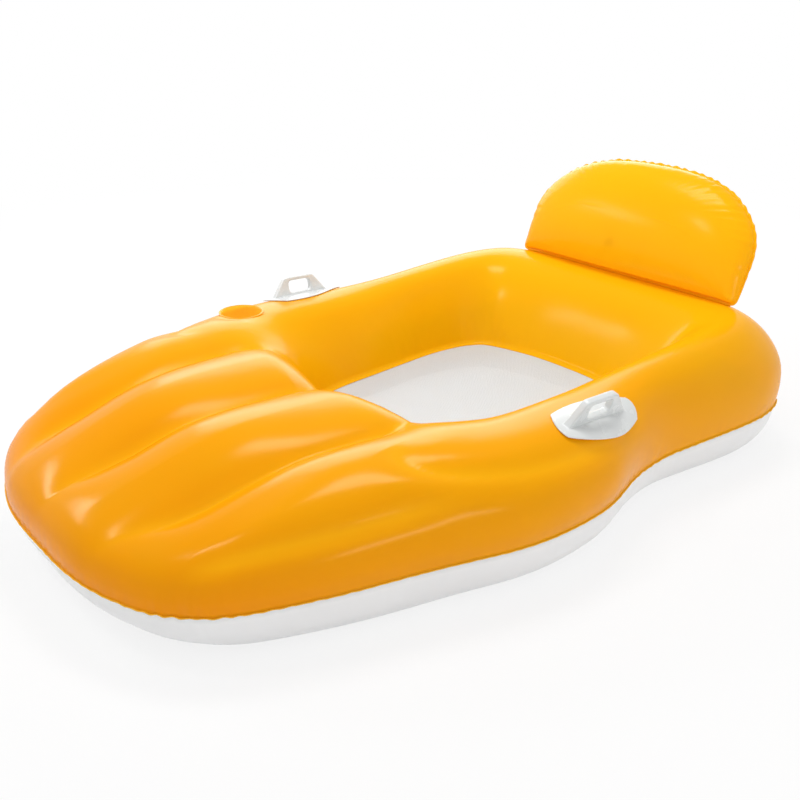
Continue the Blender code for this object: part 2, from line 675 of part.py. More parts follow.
def box_mesh(name, size):
    """Box centred on the origin."""
    shape = bmesh.new()
    bmesh.ops.create_cube(shape, size=1, matrix=Matrix.Diagonal((*size, 1)))
    mesh = bpy.data.meshes.new(name)
    shape.to_mesh(mesh)
    shape.free()
    return mesh


def boolean(part, cutter, operation):
    """Cut or join with another object's shape."""
    step = part.modifiers.new(operation.lower(), "BOOLEAN")
    step.operation = operation
    step.object = cutter


def turned(name, profile, finish, looped):
    """Body of revolution about Z from a (radius, height) profile."""
    count = len(profile)
    edges = [(k, (k + 1) % count) for k in range(count if looped else count - 1)]
    mesh = bpy.data.meshes.new(name)
    mesh.from_pydata([(r, 0, z) for r, z in profile], edges, [])
    part = new_object(name, mesh, finish)
    screw = part.modifiers.new("turn", "SCREW")
    screw.steps = VALVE_SIDES
    screw.render_steps = VALVE_SIDES
    screw.use_merge_vertices = True
    screw.merge_threshold = MERGE_DISTANCE
    screw.use_smooth_shade = False
    return part


def make_cup(top, tree):
    """Round well let into the left armrest: a wall that follows the skin, and a floor."""
    x, y = CUP_CENTRE
    bottom = CUP_RIM_HEIGHT - CUP_DEPTH
    cutter = cutter_object(
        "cup_cutter", cylinder_mesh("cup_cutter", CUP_RADIUS + GAP, CUP_DEPTH, CUP_SIDES))
    cutter.location = (x, y, CUP_RIM_HEIGHT)
    boolean(top, cutter, "DIFFERENCE")
    rows = []
    for k in range(CUP_SIDES):
        turn = 2 * math.pi * k / CUP_SIDES
        px, py = x + CUP_RADIUS * math.sin(turn), y + CUP_RADIUS * math.cos(turn)
        rows.append(((px, py, skin_height(tree, px, py) + SKIN), (px, py, bottom)))
    wall = loft("cup_wall", np.array(rows), "orange_vinyl", True, CUP_WALL, -1)
    wall.data.shade_smooth()
    floor_radius = CUP_RADIUS - CUP_WALL - GAP
    floor = new_object(
        "cup_floor", cylinder_mesh("cup_floor", floor_radius, CUP_WALL, CUP_SIDES), "orange_vinyl")
    floor.location = (x, y, bottom + CUP_WALL / 2)


def backrest_outline():
    """Weld line of the pillow, anticlockwise as the sitter sees it, in its own plane."""
    half = np.array(BACKREST_SHARES) * (BACKREST_WIDTH / 2, BACKREST_HEIGHT)
    padded = np.concatenate([half[1:2] * (-1, 1), half, half[-2:-1] * (-1, 1)])
    count = (len(half) - 1) * BACKREST_STEPS_PER_POINT
    right = catmull_rom(padded, 1 + np.arange(count + 1) / BACKREST_STEPS_PER_POINT)
    left = right[-2:0:-1] * (-1, 1)
    outline = np.concatenate([right, left])
    outline[:, 1] = np.maximum(outline[:, 1], 0) + FLANGE + GAP
    return outline


def backrest_grid(front):
    """Inner face of one sheet of the pillow, from its flange to its middle."""
    outline = backrest_outline()
    centre = np.array([0, FLANGE + GAP + BACKREST_HEIGHT * BACKREST_CENTRE_SHARE])
    side = 1 if front else -1
    shares = np.cos(np.linspace(0, math.pi / 2, BACKREST_RINGS + 1))
    shares[-1] = 0
    across = np.array([1.0, 0, 0])
    upward = np.array([0, math.sin(BACKREST_LEAN), math.cos(BACKREST_LEAN)])
    forward = np.cross(across, upward)
    base = np.array([0, BACKREST_Y, BACKREST_AXIS_HEIGHT])
    rows = []
    flange = outline + FLANGE * outward(outline)
    for share, line in [(1.0, flange)] + [(s, centre + (outline - centre) * s) for s in shares]:
        proud = GAP / 2 + BACKREST_DEPTH / 2 * (1 - share ** 2) ** BACKREST_POWER
        rows.append(base + line[:, :1] * across + line[:, 1:] * upward + side * proud * forward)
    return np.stack(rows, axis=1)


def merge_points(mesh):
    """Close the pole where a sheet's last row is one point."""
    shell = bmesh.new()
    shell.from_mesh(mesh)
    bmesh.ops.remove_doubles(shell, verts=shell.verts, dist=MERGE_DISTANCE)
    shell.to_mesh(mesh)
    shell.free()


def make_backrest(tree):
    """Pillow of two welded sheets and the strip that hinges it on the back tube."""
    front = loft("backrest_front_skin", backrest_grid(True), "orange_vinyl", True, SKIN, 1)
    rear = loft("backrest_rear_skin", backrest_grid(False), "orange_vinyl", True, SKIN, -1)
    merge_points(front.data)
    merge_points(rear.data)
    rows = []
    for x in np.linspace(-HINGE_STRIP_WIDTH / 2, HINGE_STRIP_WIDTH / 2, HINGE_STRIP_STEPS + 1):
        bottom = skin_height(tree, x, BACKREST_Y) + SKIN + GAP
        rows.append(((x, BACKREST_Y, bottom), (x, BACKREST_Y, BACKREST_AXIS_HEIGHT - HINGE_RUN)))
    loft("backrest_hinge_strip", np.array(rows), "orange_vinyl", False, HINGE_STRIP_THICKNESS, 0)
    return rear


def handle_scale():
    """Stations and rows of the armrest in one metre along and across a handle's pad."""
    probe = np.array([-HANDLE_PROBE, HANDLE_PROBE])
    ends = smooth_ring(HANDLE_STATION + probe, [HANDLE_ROW])[:, 0]
    sides = smooth_ring([HANDLE_STATION], HANDLE_ROW + probe)[0]
    spans = np.array([np.linalg.norm(ends[1] - ends[0]), np.linalg.norm(sides[1] - sides[0])])
    return HANDLE_PROBE * 2 / spans


def handle_patch(lift):
    """Points of a handle's pad on the smooth armrest, lifted off it, with drawn-in corners."""
    across, along = (np.linspace(-1, 1, n + 1) for n in (HANDLE_PAD_CELLS[1], HANDLE_PAD_CELLS[0]))
    points = []
    half_stations, half_rows = handle_scale() * (HANDLE_PAD_LENGTH / 2, HANDLE_PAD_WIDTH / 2)
    for a in along:
        line = []
        width = 1 - (1 - HANDLE_END_SHARE) * abs(a) ** HANDLE_END_POWER
        for b in across:
            drawn_in = math.sqrt(1 - HANDLE_CORNER_SHARE * b * b / 2)
            station = HANDLE_STATION + half_stations * a * drawn_in
            row = HANDLE_ROW + half_rows * (b * width - HANDLE_TURN_SHARE * a)
            near = smooth_ring(station + STATION_NUDGES, [row - ROW_NUDGE, row, row + ROW_NUDGE])
            line.append(near[1, 1] + lift * grid_normals(near, closed=False)[1, 1])
        points.append(line)
    return np.array(points)


def loop_mesh(name):
    """Trapezoid frame in its own XY plane, X along the armrest and Y up, from one flat curve."""
    foot, top = LOOP_FOOT_LENGTH / 2, LOOP_TOP_LENGTH / 2
    slope = (foot - top) / LOOP_HEIGHT
    low = -LOOP_SINK
    lintel = LOOP_HEIGHT - LOOP_BAR
    wide = foot + slope * LOOP_SINK
    frame = [(-wide, low), (wide, low), (top, LOOP_HEIGHT), (-top, LOOP_HEIGHT)]
    window = [(slope * (LOOP_HEIGHT - y) + top - LOOP_LEG, y) for y in (LOOP_SILL, lintel)]
    window = [(-x, y) for x, y in window] + [(x, y) for x, y in reversed(window)]
    curve = bpy.data.curves.new(name, "CURVE")
    curve.dimensions = "2D"
    curve.fill_mode = "BOTH"
    curve.extrude = LOOP_THICKNESS / 2
    for outline, radius in ((frame, LOOP_CORNER), (window, LOOP_WINDOW_CORNER)):
        points = rounded(outline, radius)
        spline = curve.splines.new("POLY")
        spline.points.add(len(points) - 1)
        for point, (x, y) in zip(spline.points, points):
            point.co = (x, y, 0, 1)
        spline.use_cyclic_u = True
    return curve


def rounded(outline, radius):
    """Outline with each corner turned into a quadratic arc that starts a radius from it."""
    points = []
    corners = [np.array(p, float) for p in outline]
    befores, afters = corners[-1:] + corners[:-1], corners[1:] + corners[:1]
    for before, corner, after in zip(befores, corners, afters):
        start = corner + (before - corner) / np.linalg.norm(before - corner) * radius
        end = corner + (after - corner) / np.linalg.norm(after - corner) * radius
        for step in range(CORNER_STEPS + 1):
            t = step / CORNER_STEPS
            points.append(tuple(start * (1 - t) ** 2 + corner * 2 * t * (1 - t) + end * t ** 2))
    return points


def make_handle(name, side):
    """Moulded pad over the armrest's outer shoulder with an upright loop in one piece."""
    mirror = MIRROR_X if side < 0 else np.ones(3)
    offset = 1 if side > 0 else -1
    pad_patch = handle_patch(HANDLE_SEAT) * mirror
    pad = loft(name, pad_patch, "white_plastic", False, HANDLE_PAD_THICKNESS, offset)
    slab_patch = handle_patch(HANDLE_SEAT + HANDLE_PAD_THICKNESS / 2) * mirror
    slab = loft(name + "_slab", slab_patch, "white_plastic", False, SLAB_DEPTH, -offset)
    station, row = handle_scale() * (-LOOP_AHEAD, LOOP_ABOVE) + (HANDLE_STATION, HANDLE_ROW)
    near = smooth_ring(station + STATION_NUDGES, [row - ROW_NUDGE, row, row + ROW_NUDGE])
    foot = Vector(near[1, 1] * mirror)
    along = Vector((near[2, 1] - near[0, 1]) * mirror).normalized()
    upward = Vector(grid_normals(near, closed=False)[1, 1] * mirror)
    upward = (upward - along * upward.dot(along)).normalized()
    frame = new_object(name + "_loop", loop_mesh(name + "_loop"), "white_plastic")
    turn = Matrix((along, upward, along.cross(upward))).transposed()
    frame.matrix_world = Matrix.Translation(foot) @ turn.to_4x4()
    frame = closed_part(frame)
    soften = frame.modifiers.new("edges", "BEVEL")
    soften.width = LOOP_EDGE
    soften.segments = 2
    soften.angle_limit = LOOP_EDGE_ANGLE
    boolean(frame, slab, "DIFFERENCE")
    boolean(pad, frame, "UNION")
    for tool in (slab, frame):
        tool.hide_render = True
        tool.display_type = "WIRE"
        bpy.data.collections[COLLECTION_NAME].objects.unlink(tool)
        bpy.data.collections[CUTTER_COLLECTION_NAME].objects.link(tool)


def cell_frame(grid, column, row, away):
    """Centre and outward normal of one cell of a sheet, and how far it stands proud of there."""
    count = len(grid)
    corners = [grid[(column + i) % count, row + j] for i in (0, 1) for j in (0, 1)]
    centre = Vector(np.mean(corners, axis=0))
    normal = Vector(corners[3] - corners[0]).cross(Vector(corners[1] - corners[2])).normalized()
    if normal.dot(Vector(away)) < 0:
        normal = -normal
    tree = skin_tree(grid)
    first = normal.orthogonal().normalized()
    second = normal.cross(first)
    heights = []
    for radius in (0, VALVE_FLANGE_RADIUS / 2, VALVE_FLANGE_RADIUS):
        for step in range(VALVE_SIDES):
            turn = 2 * math.pi * step / VALVE_SIDES
            aside = (first * math.cos(turn) + second * math.sin(turn)) * radius
            start = centre + aside + normal * VALVE_FLANGE_RADIUS
            heights.append(VALVE_FLANGE_RADIUS - tree.ray_cast(start, -normal)[3])
    return centre, normal, max(heights)


def make_valve(prefix, skin, grid, column, row, away):
    """Flange, sliding stem, check flap and plug on one cell of a skin's inner-face grid."""
    centre, normal, proud = cell_frame(grid, column, row, away)
    turn = Vector((0, 0, 1)).rotation_difference(normal).to_matrix().to_4x4()
    seat = Matrix.Translation(centre + normal * (proud + SKIN + GAP)) @ turn
    hole_mesh = cylinder_mesh(prefix + "_hole", VALVE_HOLE_RADIUS, VALVE_HOLE_DEPTH, VALVE_SIDES)
    hole = cutter_object(prefix + "_hole", hole_mesh)
    hole.matrix_world = Matrix.Translation(centre) @ turn
    boolean(skin, hole, "DIFFERENCE")
    bore = STEM_RADIUS + GAP
    flange = turned(prefix + "_flange", (
        (VALVE_FLANGE_RADIUS, VALVE_FLANGE_THICKNESS), (VALVE_FLANGE_RADIUS, 0), (bore, 0),
        (bore, VALVE_COLLAR_HEIGHT), (VALVE_COLLAR_RADIUS, VALVE_COLLAR_HEIGHT),
        (VALVE_COLLAR_RADIUS, VALVE_FLANGE_THICKNESS)), "valve_vinyl", True)
    stem = turned(prefix + "_stem", (
        (STEM_RADIUS, STEM_HEIGHT), (STEM_RADIUS, STEM_LIP - STEM_FOOT),
        (STEM_RADIUS + STEM_LIP, -STEM_FOOT + STEM_LIP / 2), (STEM_RADIUS + STEM_LIP, -STEM_FOOT),
        (STEM_BORE, -STEM_FOOT), (STEM_BORE, STEM_HEIGHT)), "valve_vinyl", True)
    flap_mesh = cylinder_mesh(prefix + "_flap", STEM_RADIUS, FLAP_THICKNESS, VALVE_SIDES)
    flap_mesh.transform(Matrix.Translation((0, 0, -FLAP_THICKNESS / 2)))
    flap = new_object(prefix + "_flap", flap_mesh, "valve_vinyl")
    shank = STEM_BORE - GAP
    plug = turned(prefix + "_plug", (
        (0, PLUG_HEAD_HEIGHT), (PLUG_HEAD_RADIUS, PLUG_HEAD_HEIGHT), (PLUG_HEAD_RADIUS, 0),
        (shank, 0), (shank, -PLUG_SHANK_LENGTH), (0, -PLUG_SHANK_LENGTH)), "valve_vinyl", False)
    tab = cutter_object(prefix + "_tab", box_mesh(prefix + "_tab", (
        PLUG_TAB_LENGTH, PLUG_TAB_WIDTH, PLUG_TAB_THICKNESS)))
    tab.parent = plug
    tab.location = (PLUG_HEAD_RADIUS + PLUG_TAB_LENGTH * PLUG_TAB_SHARE, 0, PLUG_HEAD_HEIGHT / 2)
    boolean(plug, tab, "UNION")
    flange.matrix_world = seat
    stem.matrix_world = seat
    flap.matrix_world = seat @ Matrix.Translation((0, 0, -STEM_FOOT - GAP))
    plug.matrix_world = seat @ Matrix.Translation((0, 0, STEM_HEIGHT + GAP))


def nearest_cell(grid):
    """Column and row of the pillow's cell nearest to where its valve goes."""
    side = BACKREST_VALVE_SIDE_SHARE * BACKREST_WIDTH / 2
    rise = BACKREST_VALVE_HEIGHT_SHARE * BACKREST_HEIGHT * math.cos(BACKREST_LEAN)
    centres = (grid[:, 1:-2] + np.roll(grid, -1, axis=0)[:, 2:-1]) / 2
    away = np.hypot(centres[..., 0] - side, centres[..., 2] - BACKREST_AXIS_HEIGHT - rise)
    column, row = np.unravel_index(away.argmin(), away.shape)
    return int(column), int(row) + 1


def make_finishes():
    """One material for each kind of sheet or moulding."""
    for name, (colour, roughness) in FINISH_VALUES.items():
        material = bpy.data.materials.new(name)
        material.use_nodes = True
        shader = material.node_tree.nodes["Principled BSDF"]
        shader.inputs["Base Color"].default_value = (*colour, 1)
        shader.inputs["Roughness"].default_value = roughness
        shader.inputs["Metallic"].default_value = 0.0
        FINISHES[name] = material


def main():
    """Build the whole lounger in a fresh scene."""
    for old in list(bpy.data.objects):
        bpy.data.objects.remove(old)
    for name in (COLLECTION_NAME, CUTTER_COLLECTION_NAME):
        bpy.context.scene.collection.children.link(bpy.data.collections.new(name))
    make_finishes()
    top, grid = make_skins()
    tree = skin_tree(grid)
    make_webs(tree)
    make_net()
    make_cup(top, tree)
    rear = make_backrest(tree)
    for name, side in (("handle_right", 1), ("handle_left", -1)):
        make_handle(name, side)
    column = round((MAIN_VALVE_STATION + LAST_STATION) * COLUMNS_PER_STATION)
    row = int(np.searchsorted(section_rows(), MAIN_VALVE_ROW)) - 1
    make_valve("main_valve", top, grid, column, row, (-1, 0, 0))
    pillow = backrest_grid(False)
    column, row = nearest_cell(pillow)
    make_valve("backrest_valve", rear, pillow, column, row, (0, 1, 0))


main()
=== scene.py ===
"""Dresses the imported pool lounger: vinyl sheets, net, grab handles, cup well, backrest and valves.

Metres, +Z up, nose to -Y and backrest to +Y, in the same frame as the solids under it.
"""

import logging
import math
from contextlib import contextmanager
from dataclasses import dataclass, field
from enum import Enum, IntEnum
from typing import Any, Iterator, Sequence

import bmesh
import bpy
import numpy as np
from mathutils import Matrix, Vector
from mathutils.bvhtree import BVHTree


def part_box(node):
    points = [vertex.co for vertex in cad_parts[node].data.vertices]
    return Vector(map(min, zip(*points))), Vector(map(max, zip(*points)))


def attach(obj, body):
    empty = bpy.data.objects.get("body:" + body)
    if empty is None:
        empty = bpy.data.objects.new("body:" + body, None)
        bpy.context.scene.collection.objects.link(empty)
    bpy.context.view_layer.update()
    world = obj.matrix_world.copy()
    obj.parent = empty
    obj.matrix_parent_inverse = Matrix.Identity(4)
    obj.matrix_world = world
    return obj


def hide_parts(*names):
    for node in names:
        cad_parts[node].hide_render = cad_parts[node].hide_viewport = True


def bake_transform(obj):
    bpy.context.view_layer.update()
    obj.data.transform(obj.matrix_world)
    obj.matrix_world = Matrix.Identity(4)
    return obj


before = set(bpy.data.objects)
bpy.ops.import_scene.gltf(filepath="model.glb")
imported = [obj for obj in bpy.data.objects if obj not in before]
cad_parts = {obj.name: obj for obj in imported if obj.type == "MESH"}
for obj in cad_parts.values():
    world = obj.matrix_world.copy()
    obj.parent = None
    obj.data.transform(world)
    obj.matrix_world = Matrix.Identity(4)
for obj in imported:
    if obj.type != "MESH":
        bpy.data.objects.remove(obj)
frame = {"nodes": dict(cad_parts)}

LOG = logging.getLogger("pool_lounger")
Array = np.ndarray
Colour = tuple[float, float, float]
Pairs = tuple[tuple[float, float], ...]
Material, Mesh, Object = bpy.types.Material, bpy.types.Mesh, bpy.types.Object
MM = 0.001
TINY = 1e-12
MERGE = 0.001 * MM
FLANGE_SHARES = (1.0, 0.5)
MIRROR = np.array([-1.0, 1.0, 1.0])
DOWN = Vector((0, 0, -1))


class Side(Enum):
    """The two halves of the float, by the sign of X."""

    RIGHT = 1
    LEFT = -1


class Sheet(Enum):
    """The two sheets of a welded bag, by the way that each bulges."""

    FRONT = 1
    REAR = -1


class Seed(IntEnum):
    """Picks the uneven ridges along each seam."""

    OUTER_WELD = 5
    WELL_WELD = 8
    CREASES = 11
    PILLOW_FRONT = 21
    PILLOW_REAR = 22
    PILLOW_EDGE = 23
    OUTER_EDGE = 31


# Curves and grids


def smoothstep(value: Array) -> Array:
    """Ease from 0 to 1 as a value goes from 0 to 1."""
    value = np.clip(value, 0, 1)
    return value * value * (3 - 2 * value)


def cubic_weights(part: Array) -> Array:
    """Weights of four neighbours on a smooth curve.

    Args:
        part: how far each place lies between the two middle neighbours.

    Returns:
        The four weights, along a new last axis.
    """
    return 0.5 * np.stack([
        -part + 2 * part ** 2 - part ** 3,
        2 - 5 * part ** 2 + 3 * part ** 3,
        part + 4 * part ** 2 - 3 * part ** 3,
        -part ** 2 + part ** 3,
    ], axis=-1)


def smooth_curve(values: Sequence[Any], where: Array, closed: bool = False) -> Array:
    """Smooth curve through rows of values.

    Args:
        values: the rows that it passes through.
        where: fractional row numbers to read it at.
        closed: whether the last row leads back to the first.

    Returns:
        One row for each place.
    """
    rows = np.asarray(values, float)
    where = np.asarray(where, float)
    if closed:
        low = np.floor(where).astype(int)
        picked = rows[(low[..., None] + np.arange(-1, 3)) % len(rows)]
    else:
        low = np.clip(np.floor(where).astype(int), 0, len(rows) - 2)
        padded = np.concatenate([[2 * rows[0] - rows[1]], rows, [2 * rows[-1] - rows[-2]]])
        picked = padded[low[..., None] + np.arange(4)]
    weights = cubic_weights(where - low)
    weights = weights.reshape(weights.shape + (1,) * (rows.ndim - 1))
    return (picked * weights).sum(axis=where.ndim)


def joined(line: Array) -> Array:
    """A closed line's points with the first repeated at the end."""
    return np.concatenate([line, line[:1]])


def outward(line: Array) -> Array:
    """Unit plan normals of a closed line of points that runs anticlockwise."""
    along = np.roll(line, -1, axis=0) - np.roll(line, 1, axis=0)
    normal = np.column_stack([along[:, 1], -along[:, 0]])
    return normal / np.linalg.norm(normal, axis=1, keepdims=True)


def lengths_along(line: Array) -> Array:
    """Distance along a line to each of its points."""
    steps = np.linalg.norm(np.diff(line, axis=0), axis=1)
    return np.concatenate([[0.0], np.cumsum(steps)])


def evenly_spaced(line: Array, count: int, closed: bool) -> Array:
    """The same line with evenly spaced points.

    Args:
        line: its points.
        count: how many points to return.
        closed: whether the line closes on itself.

    Returns:
        The new points, without a repeat of the first.
    """
    full = joined(line) if closed else line
    along = lengths_along(full)
    wanted = np.linspace(0, along[-1], count, endpoint=not closed)
    return np.column_stack([np.interp(wanted, along, full[:, k]) for k in range(full.shape[1])])


def grid_normals(points: Array, closed: bool) -> Array:
    """Unit normals of a columns by rows grid.

    Args:
        points: columns by rows by XYZ.
        closed: whether the last column leads back to the first.

    Returns:
        One normal for each point.
    """
    if closed:
        along = np.roll(points, -1, axis=0) - np.roll(points, 1, axis=0)
    else:
        along = np.gradient(points, axis=0)
    normal = np.cross(along, np.gradient(points, axis=1))
    return normal / np.maximum(np.linalg.norm(normal, axis=2, keepdims=True), TINY)


def nearest_on_line(points: Array, line: Array) -> tuple[Array, Array]:
    """Distance from each point to a line, and how far along the line its nearest place is.

    Args:
        points: an array whose last axis is the place.
        line: the line's points.

    Returns:
        The distances and the lengths along the line.
    """
    batch = 8000
    flat = points.reshape(-1, points.shape[-1])
    starts, steps = line[:-1], np.diff(line, axis=0)
    squares = np.maximum((steps ** 2).sum(axis=1), TINY)
    marks = lengths_along(line)
    apart, along = np.empty(len(flat)), np.empty(len(flat))
    for first in range(0, len(flat), batch):
        some = flat[first:first + batch]
        offset = some[:, None, :] - starts[None]
        share = np.clip((offset * steps).sum(axis=2) / squares, 0, 1)
        gap = np.linalg.norm(offset - share[..., None] * steps, axis=2)
        best = gap.argmin(axis=1)
        rows = np.arange(len(some))
        apart[first:first + batch] = gap[rows, best]
        along[first:first + batch] = marks[best] + share[rows, best] * np.sqrt(squares[best])
    return apart.reshape(points.shape[:-1]), along.reshape(points.shape[:-1])


def gathers(along: Array, length: float, wave: float, seed: int) -> Array:
    """Uneven ridges along a seam, such as the puckers beside a weld.

    Args:
        along: distance along the seam.
        length: the seam's length, after which the ridges repeat.
        wave: usual distance from ridge to ridge.
        seed: picks the pattern.

    Returns:
        Heights from about -1 to 1.
    """
    least, drift = 0.35, 0.3
    faint_count, faint = 0.18, 0.15
    count = max(4, round(2 * length / wave))
    source = np.random.default_rng(int(seed))
    heights = source.uniform(least, 1.0, count) * np.where(np.arange(count) % 2, 1, -1)
    heights[source.random(count) < faint_count] *= faint
    shift = source.uniform(-drift, drift, count + 1)
    shift[-1] = shift[0]
    place = np.mod(along / length, 1) * count
    place = place + np.interp(place, np.arange(count + 1), shift)
    return smooth_curve(heights, place, closed=True)


def beside_weld(apart: Array, reach: float, start: float) -> Array:
    """How much of its puckers a film shows at distances from a weld.

    Args:
        apart: the distances.
        reach: distance over which the puckers die away.
        start: distance at which they have come up.

    Returns:
        Shares from 0 to 1.
    """
    return np.exp(-apart / reach) * smoothstep(apart / start)


def gathers_round(line: Array, wave: float, seed: int) -> Array:
    """Uneven ridges at the points of a closed line."""
    along = lengths_along(joined(line))
    return gathers(along[:-1], along[-1], wave, seed)


def around(grid: Array) -> Array:
    """Sum of each cell's four neighbours."""
    return sum(np.roll(grid, step, axis) for axis in (0, 1) for step in (1, -1))


# Meshes


def grid_quads(
    columns: int, rows: int, closed: bool, skip: Array | None = None
) -> list[tuple[int, ...]]:
    """Four-sided faces of a columns by rows grid.

    Args:
        columns: number of columns.
        rows: number of rows.
        closed: whether the last column leads back to the first.
        skip: cells to leave out, as a columns by rows - 1 mask.

    Returns:
        The faces, as point numbers.
    """
    span = columns if closed else columns - 1
    here = np.arange(span)[:, None] * rows + np.arange(rows - 1)[None]
    there = ((np.arange(span) + 1) % columns)[:, None] * rows + np.arange(rows - 1)[None]
    quads = np.stack([here, there, there + 1, here + 1], axis=-1)
    if skip is not None:
        quads = quads[~skip[:span]]
    return [tuple(face) for face in quads.reshape(-1, 4).tolist()]


def new_mesh(name: str, points: Array, faces: Sequence[Sequence[int]]) -> Mesh:
    """Smooth-shaded mesh from points and faces."""
    mesh = bpy.data.meshes.new(name)
    mesh.from_pydata(np.asarray(points, float).reshape(-1, 3).tolist(), [], list(faces))
    mesh.update()
    mesh.shade_smooth()
    return mesh


def search_tree(points: Array, closed: bool) -> BVHTree:
    """Search tree of a columns by rows grid."""
    faces = grid_quads(*points.shape[:2], closed)
    return BVHTree.FromPolygons(points.reshape(-1, 3).tolist(), faces)


def slab_mesh(name: str, under: Array, upper: Array) -> Mesh:
    """Closed body between two grids.

    Args:
        name: the mesh's name.
        under: lower grid, columns by rows by XYZ.
        upper: upper grid, of the same size.

    Returns:
        The mesh, with its faces outwards.
    """
    columns, rows = under.shape[:2]
    count = columns * rows
    faces = grid_quads(columns, rows, False)
    sides = [tuple(reversed(face)) for face in faces]
    sides += [tuple(k + count for k in face) for face in faces]
    rim = [k * rows for k in range(columns)]
    rim += [(columns - 1) * rows + k for k in range(1, rows)]
    rim += [k * rows + rows - 1 for k in range(columns - 2, -1, -1)]
    rim += [k for k in range(rows - 2, 0, -1)]
    for here, there in zip(rim, rim[1:] + rim[:1]):
        sides.append((here, there, there + count, here + count))
    mesh = new_mesh(name, np.concatenate([under.reshape(-1, 3), upper.reshape(-1, 3)]), sides)
    face_out(mesh)
    return mesh


@contextmanager
def edited(mesh: Mesh) -> Iterator[bmesh.types.BMesh]:
    """Open a mesh for edits and write them back."""
    shell = bmesh.new()
    shell.from_mesh(mesh)
    yield shell
    shell.to_mesh(mesh)
    shell.free()


def tidy_mesh(mesh: Mesh, merge: float) -> None:
    """Make one of points nearer than a distance, and drop loose ones."""
    with edited(mesh) as shell:
        bmesh.ops.remove_doubles(shell, verts=shell.verts, dist=merge)
        loose = [v for v in shell.verts if not v.link_faces]
        bmesh.ops.delete(shell, geom=loose, context="VERTS")


def face_out(mesh: Mesh) -> None:
    """Turn a closed mesh's faces outwards."""
    with edited(mesh) as shell:
        bmesh.ops.recalc_face_normals(shell, faces=shell.faces)


def new_object(name: str, mesh: bpy.types.ID) -> Object:
    """Object in the scene's collection, at the origin."""
    made = bpy.data.objects.new(name, mesh)
    bpy.context.scene.collection.objects.link(made)
    return made


def settled(made: Object) -> Object:
    """Turn an object with modifiers and a place into a plain mesh at the origin.

    Args:
        made: the object, which is removed.

    Returns:
        The plain object, under the same name.
    """
    bpy.context.view_layer.update()
    graph = bpy.context.evaluated_depsgraph_get()
    mesh = bpy.data.meshes.new_from_object(made.evaluated_get(graph), depsgraph=graph)
    mesh.transform(made.matrix_world)
    name = made.name
    bpy.data.objects.remove(made)
    plain = new_object(name, mesh)
    mesh.name = name
    return plain


def store(mesh: Mesh, name: str, values: Array) -> None:
    """Keep one number for each point of a mesh, for its material."""
    layer = mesh.attributes.new(name, "FLOAT", "POINT")
    layer.data.foreach_set("value", np.asarray(values, np.float32).ravel())


def finish_piece(
    made: Object, body: str | None, material: Material, slot: str, *nodes: str
) -> Object:
    """Give a piece its material and body, and hide the nodes that it replaces.

    Args:
        made: the piece.
        body: the body that it moves with, or None to leave it on no body.
        material: its finish.
        slot: not used.
        nodes: nodes that it replaces.

    Returns:
        The piece.
    """
    made.data.materials.clear()
    made.data.materials.append(material)
    if body:
        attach(made, body)
    if nodes:
        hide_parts(*nodes)
    LOG.info("%s rides on %s, %d faces", made.name, body or "two bodies", len(made.data.polygons))
    return made


# Node graphs


class Sock:
    """A node's output that takes part in Python sums."""

    def __init__(self, graph: "Graph", socket: bpy.types.NodeSocket) -> None:
        """Wrap a socket of a graph."""
        self.graph = graph
        self.socket = socket

    def math(self, operation: str, *others: Any) -> "Sock":
        """Math node on this value and others."""
        values = dict(enumerate((self, *others)))
        return self.graph.node("ShaderNodeMath", {"operation": operation}, values)

    def __add__(self, other: Any) -> "Sock":
        """Sum."""
        return self.math("ADD", other)

    def __sub__(self, other: Any) -> "Sock":
        """Difference."""
        return self.math("SUBTRACT", other)

    def __rsub__(self, other: Any) -> "Sock":
        """Difference from a number."""
        return self.graph.node("ShaderNodeMath", {"operation": "SUBTRACT"}, {0: other, 1: self})

    def __mul__(self, other: Any) -> "Sock":
        """Product."""
        return self.math("MULTIPLY", other)

    def clamped(self) -> "Sock":
        """The value held between 0 and 1."""
        settings = {"operation": "ADD", "use_clamp": True}
        return self.graph.node("ShaderNodeMath", settings, {0: self, 1: 0.0})


